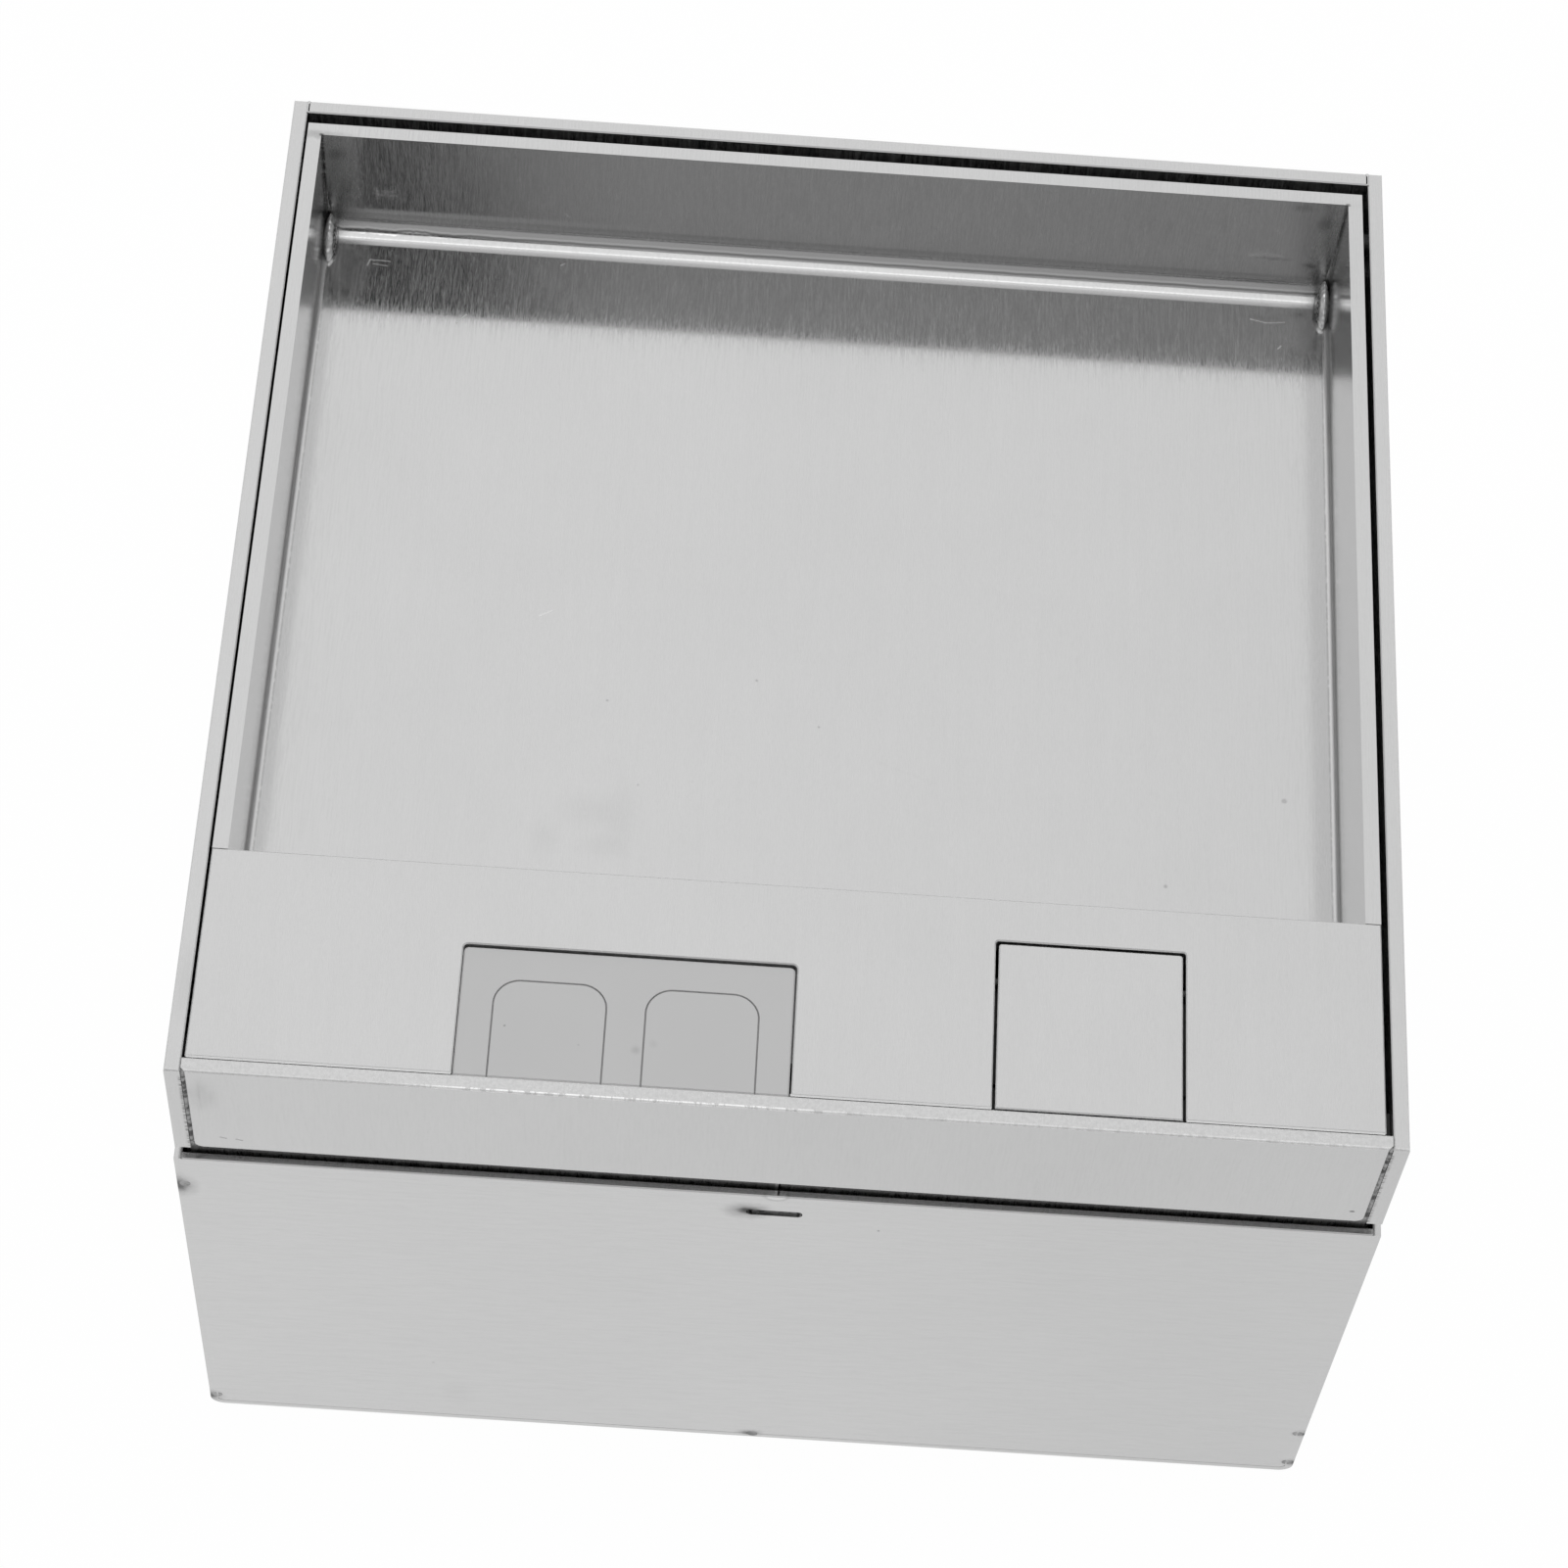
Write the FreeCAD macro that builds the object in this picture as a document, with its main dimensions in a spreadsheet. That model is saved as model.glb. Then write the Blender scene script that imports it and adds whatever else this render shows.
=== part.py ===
import FreeCAD, Part
import os
import re

import Sketcher

# A stainless steel floor socket box: a box that is cast into the floor, a levelled frame on top of it,
# and a hinged lid that is a tray for a piece of the floor covering. Millimetres. The origin is the
# centre of the box's underside, +Z is up, and the cover plate with the outlet and the flap is at -Y.

SIZES = {
    # frame and lid sheet
    "frame_side": 230,
    "frame_height": 31.5,
    "plate": 3,
    "frame_corner": 2.5,
    "weld_groove": 0.8,
    "weld_bead": 0.5,
    "edge_break": 0.25,
    "seam": 0.1,
    # box below the frame
    "box_overhang": 0.5,
    "box_height": 117.5,
    "box_sheet": 1.5,
    "box_bend": 3,
    "shadow_gap": 4,
    "tack_radius": 1.1,
    "tack_depth": 0.9,
    "tack_inset": 4.5,
    "tack_drop": 10.8,
    "tack_rise": 20.1,
    # holes in the box
    "fixing_pitch": 160,
    "fixing_radius": 3.25,
    "conduit_radius": 12.5,
    "conduit_slot": 0.8,
    "conduit_bridge": 3,
    "conduit_pitch": 100,
    "conduit_height": 26,
    # brackets and collar that carry the frame
    "tab_width": 8.6,
    "tab_sheet": 2,
    "tab_slack": 0.1,
    "tab_sink": 0.5,
    "slot_width": 10.8,
    "slot_drop": 7.3,
    "slot_centre": -0.5,
    "shelf_width": 24,
    "shelf_reach": 16,
    "bracket_leg": 14,
    "collar_sheet": 1.5,
    "collar_slack": 0.5,
    "collar_flange": 14,
    "collar_seam": 0.4,
    "key_hole_radius": 1.75,
    "level_radius": 2.5,
    "level_length": 8,
    "level_nut": 8,
    "level_nut_height": 4,
    "level_socket": 2.5,
    "thread_slack": 0.05,
    "buffer_radius": 4.5,
    "buffer_inset": 0.5,
    "buffer_pitch": 120,
    # lid
    "gap_left": 0.55,
    "gap_right": 1.3,
    "gap_back": 2.8,
    "gap_front": 0.3,
    "tray_depth": 30,
    "tray_bend": 2,
    "tray_seam": 0.3,
    "cover_width": 44.35,
    "cheek_depth": 12,
    "cheek_end": 8,
    "weld_width": 3,
    "weld_reach": 6,
    "weld_height": 6.2,
    "weld_lift": 1,
    # lid hinge
    "hinge_back": 8,
    "hinge_drop": 6.5,
    "hinge_radius": 2.5,
    "hinge_bite": 2.4,
    "running": 0.06,
    "pressed": 0.02,
    "end_play": 0.1,
    "ledge_width": 6,
    "ledge_sheet": 3,
    "ledge_clear": 2.2,
    # cable outlet insert
    "outlet_centre": -31,
    "outlet_width": 62.7,
    "outlet_reach": 27.4,
    "outlet_corner": 1,
    "insert_left": 0.1,
    "insert_slack": 0.35,
    "insert_sink": 0.6,
    "insert_lip": 2,
    "insert_lip_sheet": 1.5,
    "insert_skirt": 5,
    "insert_wall": 1.5,
    "knock_width": 21.1,
    "knock_reach": 20.5,
    "knock_pitch": 28.45,
    "knock_corner": 5,
    "score_width": 0.35,
    "score_depth": 0.9,
    # lift flap
    "flap_centre": 55.5,
    "flap_width": 34.8,
    "flap_gap": 0.6,
    "flap_reach": 35.4,
    "flap_pin_back": 8.2,
    "flap_pin_radius": 0.8,
    "flap_pin_bite": 2.6,
    "flap_angle": 45,
    "flap_corner": 0.6,
    "strip_sheet": 1.5,
    "strip_overlap": 2.4,
    "strip_seat": 4,
    "strip_clear": 0.5,
    # carrier for the outlets
    "carrier_gap": 17,
    "carrier_sheet": 2,
    "carrier_height": 56,
    "carrier_slack": 0.3,
    "rail_sheet": 1.5,
    "rail_shelf": 26,
    "rail_leg": 12,
    "rail_inset": 3,
    "carrier_screw_inset": 4.5,
    "carrier_screw_pitch": 160,
    "screw_radius": 2,
    "screw_head_radius": 3.8,
    "screw_head_height": 2.6,
    "cross_reach": 2.3,
    "cross_width": 1,
    "screw_length": 9,
    "nut_flats": 7,
    "nut_height": 3.2,
    # 45 mm outlet modules
    "module_side": 45,
    "module_body": 42,
    "module_face": 4,
    "module_slack": 0.15,
    "module_corner": 0.6,
    "row_gap": 9,
    "trim_border": 9,
    "trim_height": 3.6,
    "trim_corner": 3,
    "trim_screw_radius": 1.5,
    "trim_screw_head": 2.8,
    "trim_screw_sink": 1.8,
    "trim_screw_tail": 2,
    "snap_width": 9,
    "snap_height": 1.6,
    "snap_reach": 0.9,
    # earthed two-pin outlet
    "socket_depth": 38,
    "recess_radius": 19.4,
    "recess_depth": 17.5,
    "pin_pitch": 19,
    "pin_hole_radius": 2.75,
    "pin_hole_depth": 20,
    "contact_wall": 0.35,
    "contact_slack": 0.05,
    "contact_drop": 1.5,
    "clip_width": 6,
    "clip_sheet": 0.8,
    "clip_bulge": 1.6,
    "key_width": 3.6,
    "key_depth": 1.4,
    "key_drop": 3,
    # data outlet
    "jack_width": 14.6,
    "jack_length": 16.6,
    "jack_depth": 26,
    "jack_pitch": 20,
    "jack_slack": 0.15,
    "port_width": 11.8,
    "port_length": 7,
    "port_depth": 13,
    "latch_width": 6.2,
    "latch_length": 2.6,
    "latch_depth": 10.4,
    "wire_pitch": 1.02,
    "wire_side": 0.45,
    "wire_drop": 3.2,
    "data_body_depth": 14,
    "blank_depth": 10,
    # earth stud
    "stud_place": 92,
    "stud_radius": 3,
    "stud_height": 22,
    "stud_nut": 10,
    "stud_nut_height": 5,
    "washer_radius": 6,
    "washer_sheet": 1.2,
}

# Places and sizes that follow from the sheet's values.
PLACES = {
    "frame_half": "frame_side / 2",
    "frame_in": "frame_half - plate",
    "box_half": "frame_half + box_overhang",
    "box_in": "box_half - box_sheet",
    "frame_bottom": "box_height + shadow_gap",
    "top": "frame_bottom + frame_height",
    "slot_middle": "box_height - slot_drop",
    "shelf_top": "slot_middle + tab_sheet / 2",
    "shelf_low": "slot_middle - tab_sheet / 2",
    "collar_out": "box_in - collar_slack",
    "collar_in": "collar_out - collar_sheet",
    "flange_in": "collar_in - collar_flange",
    "level_middle": "collar_in - collar_flange / 2",
    "flange_top": "shelf_top + collar_sheet",
    "lid_left": "gap_left - frame_in",
    "lid_right": "frame_in - gap_right",
    "lid_front": "gap_front - frame_in",
    "lid_back": "frame_in - gap_back",
    "lid_under": "top - plate",
    "cover_back": "lid_front + cover_width",
    "tray_front": "cover_back - plate",
    "tray_floor": "top - tray_depth",
    "tray_under": "tray_floor - plate",
    "hinge_y": "lid_back - hinge_back",
    "hinge_z": "top - hinge_drop",
    "outlet_left": "outlet_centre - outlet_width / 2",
    "outlet_right": "outlet_centre + outlet_width / 2",
    "outlet_back": "lid_front + outlet_reach",
    "insert_west": "outlet_left + insert_left",
    "insert_east": "outlet_right - insert_slack",
    "insert_north": "outlet_back - insert_slack",
    "insert_top": "top - insert_sink",
    "flap_west": "flap_centre - flap_width / 2",
    "flap_east": "flap_centre + flap_width / 2",
    "flap_open_west": "flap_west - flap_gap",
    "flap_open_east": "flap_east + flap_gap",
    "flap_open_back": "lid_front + flap_reach",
    "flap_north": "flap_open_back - flap_gap",
    "flap_pin_y": "flap_open_back - flap_pin_back",
    "flap_pin_z": "top - plate / 2",
    "flap_tail": "flap_north - flap_pin_y",
    "stop_level": "flap_pin_z - flap_tail * sin(flap_angle * 1 deg) - plate / 2 * cos(flap_angle * 1 deg)",
    "stop_reach": "flap_pin_y + flap_tail * cos(flap_angle * 1 deg) - plate / 2 * sin(flap_angle * 1 deg)",
    "carrier_half": "box_in - carrier_gap",
    "carrier_top": "carrier_height + carrier_sheet",
    "carrier_screw_x": "carrier_half - carrier_screw_inset",
    "face_top": "carrier_top + module_face",
    "row_half": "module_side * 3 / 2",
    "row_offset": "(module_side + row_gap) / 2 + trim_border",
    "body_half": "module_body / 2",
    "recess_floor": "face_top - recess_depth",
    "contact_radius": "pin_hole_radius - contact_slack",
}


def formula(text):
    """An expression on the sheet: a size becomes its cell, and a place is opened into its sizes."""

    def cell(match):
        word = match.group(0)
        if word in PLACES:
            return "(" + formula(PLACES[word]) + ")"
        return "dims." + word if word in SIZES else word

    return re.sub(r"[a-z][a-z_]*", cell, str(text))


doc = FreeCAD.newDocument("floor_socket_box")
sheet = doc.addObject("Spreadsheet::Sheet", "dims")
for row, (name, size) in enumerate(SIZES.items(), 1):
    sheet.set(f"A{row}", name)
    sheet.set(f"B{row}", str(size))
    sheet.setAlias(f"B{row}", name)
doc.recompute()


def value(text):
    """The number that an expression gives now."""
    return float(sheet.evalExpression(formula(text)))


def minus(text):
    return f"-({text})"


# ---------------------------------------------------------------- Part primitives and booleans

TURNS = {
    "x": FreeCAD.Rotation(FreeCAD.Vector(0, 1, 0), 90),
    "y": FreeCAD.Rotation(FreeCAD.Vector(1, 0, 0), -90),
    "z": FreeCAD.Rotation(),
}


def put(thing, place, axis="z"):
    """Stands a primitive at a place, with its own Z turned to an axis."""
    thing.Placement = FreeCAD.Placement(FreeCAD.Vector(), TURNS[axis])
    for letter, text in zip("xyz", place):
        thing.setExpression("Placement.Base." + letter, formula(text))
    return thing


def primitive(kind, name, place, axis="z", **sizes):
    thing = doc.addObject(kind, name)
    for size, text in sizes.items():
        thing.setExpression(size, formula(text))
    return put(thing, place, axis)


def block(name, x, y, z):
    """A block between two planes on each axis."""
    spans = [f"({high}) - ({low})" for low, high in (x, y, z)]
    place = [low for low, _ in (x, y, z)]
    return primitive("Part::Box", name, place, Length=spans[0], Width=spans[1], Height=spans[2])


def rod(name, radius, place, length, axis="z"):
    return primitive("Part::Cylinder", name, place, axis, Radius=radius, Height=length)


def prism(name, sides, radius, place, length, axis="z"):
    thing = primitive("Part::Prism", name, place, axis, Circumradius=radius, Height=length)
    thing.Polygon = sides
    return thing


def hexagon(name, flats, place, length):
    """A six-sided prism, given by the distance across its flats."""
    return prism(name, 6, f"{flats} / 2 / cos(30 deg)", place, length)


def slim_rod(name, radius, place, length, axis="z"):
    """A screw, foot, contact or bore so small that twelve flats stand for its round."""
    return prism(name, 12, radius, place, length, axis)


def cut(name, base, *tools):
    thing = doc.addObject("Part::Cut", name)
    thing.Base = base
    thing.Tool = tools[0] if len(tools) == 1 else fuse(name + "_cutter", *tools)
    return thing


def fuse(name, *shapes):
    thing = doc.addObject("Part::MultiFuse", name)
    thing.Shapes = list(shapes)
    thing.Refine = True
    return thing


def group(name, shapes):
    """Several separate solids of one kind."""
    thing = doc.addObject("Part::Compound", name)
    thing.Links = list(shapes)
    return thing


def overlap(name, base, tool):
    thing = doc.addObject("Part::Common", name)
    thing.Base = base
    thing.Tool = tool
    return thing


def mirror(name, source, normal):
    thing = doc.addObject("Part::Mirroring", name)
    thing.Source = source
    thing.Normal = FreeCAD.Vector(*normal)
    return thing


def on_four_sides(name, front):
    """The piece at the middle of the front side, and again at the back, the left and the right."""
    back = mirror(name + "_back", front, (0, 1, 0))
    sides = [mirror(f"{name}_{side}", source, (1, -1, 0)) for side, source in (("left", front), ("right", back))]
    return group(name, [front, back, *sides])


# ---------------------------------------------------------------- PartDesign bodies

# Local x and y of a sketch on each origin plane, and the way its normal points along the third axis.
NORMALS = {"XY": 1, "XZ": -1, "YZ": 1}


def rectangle(x, y):
    (left, right), (low, high) = x, y
    return [(left, low), (right, low), (right, high), (left, high)]


def circle(x, y, radius):
    return {"centre": (x, y), "radius": radius}


class Piece:
    """A PartDesign body, built up feature by feature."""

    def __init__(self, label):
        self.body = doc.addObject("PartDesign::Body", label)
        self.count = 0

    def name(self, kind):
        self.count += 1
        return f"{self.body.Name}_{kind}_{self.count}"

    def sketch(self, plane, level, outlines):
        """Closed outlines on a plane parallel to an origin plane, each point held by its two distances."""
        sketch = self.body.newObject("Sketcher::SketchObject", self.name("sketch"))
        face = [item for item in self.body.Origin.OriginFeatures if item.Role == plane + "_Plane"][0]
        sketch.AttachmentSupport = [(face, "")]
        sketch.MapMode = "FlatFace"
        sketch.setExpression("AttachmentOffset.Base.z", formula(level))
        for outline in outlines:
            if isinstance(outline, dict):
                self.add_circle(sketch, outline)
            else:
                self.add_polygon(sketch, outline)
        return sketch

    def add_circle(self, sketch, outline):
        (x, y), radius = outline["centre"], outline["radius"]
        centre = FreeCAD.Vector(value(x), value(y), 0)
        index = sketch.addGeometry(Part.Circle(centre, FreeCAD.Vector(0, 0, 1), value(radius)), False)
        self.hold(sketch, "DistanceX", (-1, 1, index, 3), x)
        self.hold(sketch, "DistanceY", (-1, 1, index, 3), y)
        self.hold(sketch, "Radius", (index,), radius)

    def add_polygon(self, sketch, outline):
        points = [FreeCAD.Vector(value(x), value(y), 0) for x, y in outline]
        first = sketch.GeometryCount
        ends = points[1:] + points[:1]
        sketch.addGeometry([Part.LineSegment(start, end) for start, end in zip(points, ends)], False)
        count = len(points)
        for step in range(count):
            pair = (first + step, 2, first + (step + 1) % count, 1)
            sketch.addConstraint(Sketcher.Constraint("Coincident", *pair))
        for step, (x, y) in enumerate(outline):
            self.hold(sketch, "DistanceX", (-1, 1, first + step, 1), x)
            self.hold(sketch, "DistanceY", (-1, 1, first + step, 1), y)

    def hold(self, sketch, kind, items, text):
        index = sketch.addConstraint(Sketcher.Constraint(kind, *items, value(text)))
        sketch.setExpression(f"Constraints[{index}]", formula(text))

    def extrude(self, kind, plane, span, outlines):
        low, high = span
        level = low if NORMALS[plane] > 0 else minus(high)
        sketch = self.sketch(plane, level, outlines)
        feature = self.body.newObject("PartDesign::" + kind, self.name(kind.lower()))
        feature.Profile = sketch
        feature.setExpression("Length", formula(f"({high}) - ({low})"))
        feature.Reversed = kind == "Pocket"
        doc.recompute()
        return self

    def pad(self, plane, span, *outlines):
        """Adds the outlines between two levels of the plane's third axis."""
        return self.extrude("Pad", plane, span, outlines)

    def pocket(self, plane, span, *outlines):
        """Takes the outlines away between two levels of the plane's third axis."""
        return self.extrude("Pocket", plane, span, outlines)

    def dress(self, kind, size, text, chosen):
        tip = self.body.Tip
        names = [f"Edge{number}" for number, edge in enumerate(tip.Shape.Edges, 1) if chosen(edge)]
        feature = self.body.newObject("PartDesign::" + kind, self.name(kind.lower()))
        feature.Base = (tip, names)
        feature.setExpression(size, formula(text))
        doc.recompute()
        return self

    def fillet(self, radius, chosen):
        return self.dress("Fillet", "Radius", radius, chosen)

    def chamfer(self, size, chosen):
        return self.dress("Chamfer", "Size", size, chosen)


def along(axis, x=None, y=None, z=None):
    """Picks straight edges that run along an axis, at the given distances from the origin's planes."""
    near = 0.01
    wanted = {"x": x, "y": y, "z": z}

    def chosen(edge):
        box = edge.BoundBox
        runs = {"x": box.XLength, "y": box.YLength, "z": box.ZLength}
        if runs[axis] < near or any(run > near for letter, run in runs.items() if letter != axis):
            return False
        middle = {"x": box.Center.x, "y": box.Center.y, "z": box.Center.z}
        return all(
            any(abs(middle[letter] - value(text)) < near for text in texts)
            for letter, texts in wanted.items()
            if texts is not None
        )

    return chosen


def both(text):
    return (text, minus(text))


def round_top(level):
    """Picks the straight edges round a top face at a level."""
    return lambda edge: along("x", z=(level,))(edge) or along("y", z=(level,))(edge)


# ---------------------------------------------------------------- box


def knock_out(name, across, height, wall, axis):
    """A ring slot with four bridges, which leaves a disc to be pushed out for a conduit."""
    low, high = wall
    length = f"({high}) - ({low})"
    start = (low, across, height) if axis == "x" else (across, low, height)
    outer = rod(name + "_outer", "conduit_radius", start, length, axis)
    inner = rod(name + "_inner", "conduit_radius - conduit_slot", start, length, axis)
    half = "conduit_bridge / 2"
    reach = "conduit_radius + 1"
    bars = []
    for bar, (wide, tall) in {"flat": (reach, half), "upright": (half, reach)}.items():
        side = (f"({across}) - ({wide})", f"({across}) + {wide}")
        rise = (f"({height}) - ({tall})", f"({height}) + {tall}")
        spans = (wall, side, rise) if axis == "x" else (side, wall, rise)
        bars.append(block(f"{name}_{bar}", *spans))
    return cut(name, outer, inner, *bars)


def tack_welds():
    """Short plugs of weld on the seams between the folded body and the two panels."""
    places = [
        ("-box_in", "tack_inset"),
        ("-box_in", "box_height - tack_drop"),
        ("box_in", "tack_inset"),
        ("box_in", "tack_rise"),
        ("0", "box_sheet"),
    ]
    plugs = []
    for number, (x, z) in enumerate(places, 1):
        for side, y in (("front", "-box_half"), ("back", "box_half - tack_depth")):
            plugs.append(slim_rod(f"tack_{side}_{number}", "tack_radius", (x, y, z), "tack_depth", "y"))
    return group("box_tack_welds", plugs)


def tab_slot(piece, plane, faces):
    """Slot with rounded ends that a bracket's tab goes into from behind."""
    ends = ("slot_centre - slot_width / 2", "slot_centre + slot_width / 2")
    edges = ("shelf_low - tab_slack", "shelf_top + tab_slack")
    piece.pocket(plane, faces, rectangle(ends, edges))
    across = along("x", y=ends, z=edges) if plane == "YZ" else along("y", x=ends, z=edges)
    piece.fillet("tab_sheet / 2", across)


def box_body(welds):
    """One sheet folded into left wall, floor and right wall."""
    piece = Piece("box_fold")
    profile = [
        ("-box_half", "0"),
        ("box_half", "0"),
        ("box_half", "box_height"),
        ("box_in", "box_height"),
        ("box_in", "box_sheet"),
        ("-box_in", "box_sheet"),
        ("-box_in", "box_height"),
        ("-box_half", "box_height"),
    ]
    piece.pad("XZ", ("-box_half", "box_half"), profile)
    piece.fillet("box_bend", along("y", x=both("box_half"), z=("0",)))
    piece.fillet("box_bend - box_sheet", along("y", x=both("box_in"), z=("box_sheet",)))
    piece.chamfer("edge_break", along("y", z=("box_height",)))
    corners = [(x, y) for x in both("fixing_pitch / 2") for y in both("fixing_pitch / 2")]
    piece.pocket("XY", ("0", "box_sheet"), *[circle(x, y, "fixing_radius") for x, y in corners])
    tab_slot(piece, "YZ", ("-box_half", "box_half"))
    through = ("-box_half - 1", "box_half + 1")
    rings = knock_out("side_knock_out", "0", "conduit_height", through, "x")
    return cut("box_body", piece.body, welds, rings)


def box_panel(name, sign, welds, *cutters):
    """A flat panel that closes one end of the folded body, let in between its walls."""
    piece = Piece(name + "_sheet")
    wide = "box_in - seam"
    outline = rectangle((f"-({wide})", wide), ("box_sheet + seam", "box_height"))
    faces = ("-box_half", "-box_in") if sign < 0 else ("box_in", "box_half")
    piece.pad("XZ", faces, outline)
    piece.fillet("box_bend - box_sheet", along("y", x=both(wide), z=("box_sheet + seam",)))
    piece.chamfer("edge_break", along("x", z=("box_height",)))
    tab_slot(piece, "XZ", faces)
    return cut(name, piece.body, welds, *cutters)


def rest_brackets():
    """Angles inside the four walls, each with a tab through its wall, that the collar stands on."""
    half = "shelf_width / 2"
    side = (f"slot_centre - {half}", f"slot_centre + {half}")
    tab_side = ("slot_centre - tab_width / 2", "slot_centre + tab_width / 2")
    shelf = block("bracket_shelf", side, ("-box_in", "shelf_reach - box_in"), ("shelf_low", "shelf_top"))
    wall = ("-box_in", "tab_sheet - box_in")
    leg = block("bracket_leg", side, wall, ("shelf_low - bracket_leg", "shelf_low"))
    tab = block("bracket_tab", tab_side, ("tab_sink - box_half", "-box_in"), ("shelf_low", "shelf_top"))
    place = ("0", "-level_middle", "shelf_low")
    bore = slim_rod("bracket_bore", "level_radius + thread_slack", place, "tab_sheet")
    angle = cut("bracket_front", fuse("bracket_angle", shelf, leg, tab), bore)
    return on_four_sides("rest_brackets", angle)


def levelling_nuts():
    """Weld nuts under the shelves of the brackets."""
    place = ("0", "-level_middle", "shelf_low - level_nut_height")
    nut = hexagon("level_nut_blank", "level_nut", place, "level_nut_height")
    bore = slim_rod("level_nut_bore", "level_radius + thread_slack", place, "level_nut_height")
    return on_four_sides("levelling_nuts", cut("level_nut_front", nut, bore))


def levelling_screws():
    """Set screws that bear on the collar's flange and are turned from above through its key holes."""
    place = ("0", "-level_middle", "shelf_top - level_length")
    shank = slim_rod("level_shank", "level_radius", place, "level_length")
    key_place = ("0", "-level_middle", "shelf_top - level_socket")
    key = hexagon("level_key", "level_socket", key_place, "level_socket")
    return on_four_sides("levelling_screws", cut("level_screw_front", shank, key))


def inner_collar():
    """Angle-section collar welded under the frame, which slides down into the box."""
    piece = Piece("inner_collar")
    square = lambda half: rectangle((minus(half), half), (minus(half), half))
    piece.pad("XY", ("shelf_top", "frame_bottom"), square("collar_out"), square("collar_in"))
    piece.pad("XY", ("shelf_top", "flange_top"), square("collar_in"), square("flange_in"))
    piece.fillet("collar_sheet", along("z", x=both("collar_out"), y=both("collar_out")))
    gap = ("-collar_seam / 2", "collar_seam / 2")
    piece.pocket("XZ", ("-collar_out", "-collar_in"), rectangle(gap, ("flange_top", "frame_bottom")))
    middles = [("0", "-level_middle"), ("0", "level_middle"), ("-level_middle", "0"), ("level_middle", "0")]
    piece.pocket("XY", ("shelf_top", "flange_top"), *[circle(x, y, "key_hole_radius") for x, y in middles])
    return piece.body


def lid_buffers():
    """Rubber feet on the collar's flange that the tray's floor rests on."""
    feet = []
    for x in both("flange_in + buffer_inset + buffer_radius"):
        for y in both("buffer_pitch / 2"):
            name = f"buffer_{len(feet) + 1}"
            feet.append(slim_rod(name, "buffer_radius", (x, y, "flange_top"), "tray_under - flange_top"))
    return group("lid_buffers", feet)


# ---------------------------------------------------------------- frame


def frame_side_plate(name, sign):
    """A side of the frame, over its full depth, bored for the hinge pin."""
    piece = Piece(name)
    faces = ("-frame_half", "-frame_in") if sign < 0 else ("frame_in", "frame_half")
    outline = rectangle(("-frame_half", "frame_half"), ("frame_bottom", "top"))
    piece.pad("YZ", faces, outline)
    piece.chamfer("edge_break", round_top("top"))
    piece.pocket("YZ", faces, circle("hinge_y", "hinge_z", "hinge_radius + pressed"))
    return piece.body


def frame_end_plate(name, sign):
    """The front or back of the frame, let in between the side plates, with weld grooves on its ends."""
    piece = Piece(name)
    wide = "frame_in - seam"
    faces = ("-frame_half", "-frame_in") if sign < 0 else ("frame_in", "frame_half")
    outer = "-frame_half" if sign < 0 else "frame_half"
    piece.pad("XZ", faces, rectangle((f"-({wide})", wide), ("frame_bottom", "top")))
    piece.fillet("frame_corner", along("y", x=both(wide), z=("frame_bottom",)))
    piece.chamfer("weld_groove", along("z", x=both(wide), y=(outer,)))
    piece.chamfer("edge_break", along("x", z=("top",)))
    return piece.body


def corner_welds(plates):
    """Beads that fill the grooves at the four corners of the frame."""
    beads = []
    for x in both("frame_in - seam - weld_bead / 2"):
        for y in both("frame_half - weld_bead"):
            name = f"corner_bead_{len(beads) + 1}"
            place = (x, y, "frame_bottom + frame_corner")
            beads.append(slim_rod(name, "weld_bead", place, "frame_height - frame_corner - edge_break"))
    return cut("frame_corner_welds", group("corner_beads", beads), *plates)


def front_ledge():
    """Strips behind the front plate that the cover plate rests on, left open under the cable outlet."""
    depth = ("-frame_in", "ledge_width - frame_in")
    rise = ("lid_under - ledge_sheet", "lid_under")
    west = block("ledge_left", ("seam - frame_in", "outlet_left - insert_lip - ledge_clear"), depth, rise)
    east = block("ledge_right", ("outlet_right + insert_lip + ledge_clear", "frame_in - seam"), depth, rise)
    return group("front_ledge", [west, east])


def hinge_pins():
    """Stub pins fixed in the side plates, which the tray's side walls turn on."""
    length = "plate + {gap} + hinge_bite - end_play"
    place = ("-frame_half", "hinge_y", "hinge_z")
    left = rod("hinge_pin_left", "hinge_radius", place, length.format(gap="gap_left"), "x")
    start = ("lid_right - hinge_bite + end_play", "hinge_y", "hinge_z")
    right = rod("hinge_pin_right", "hinge_radius", start, length.format(gap="gap_right"), "x")
    return group("hinge_pins", [left, right])


# ---------------------------------------------------------------- lid


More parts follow.
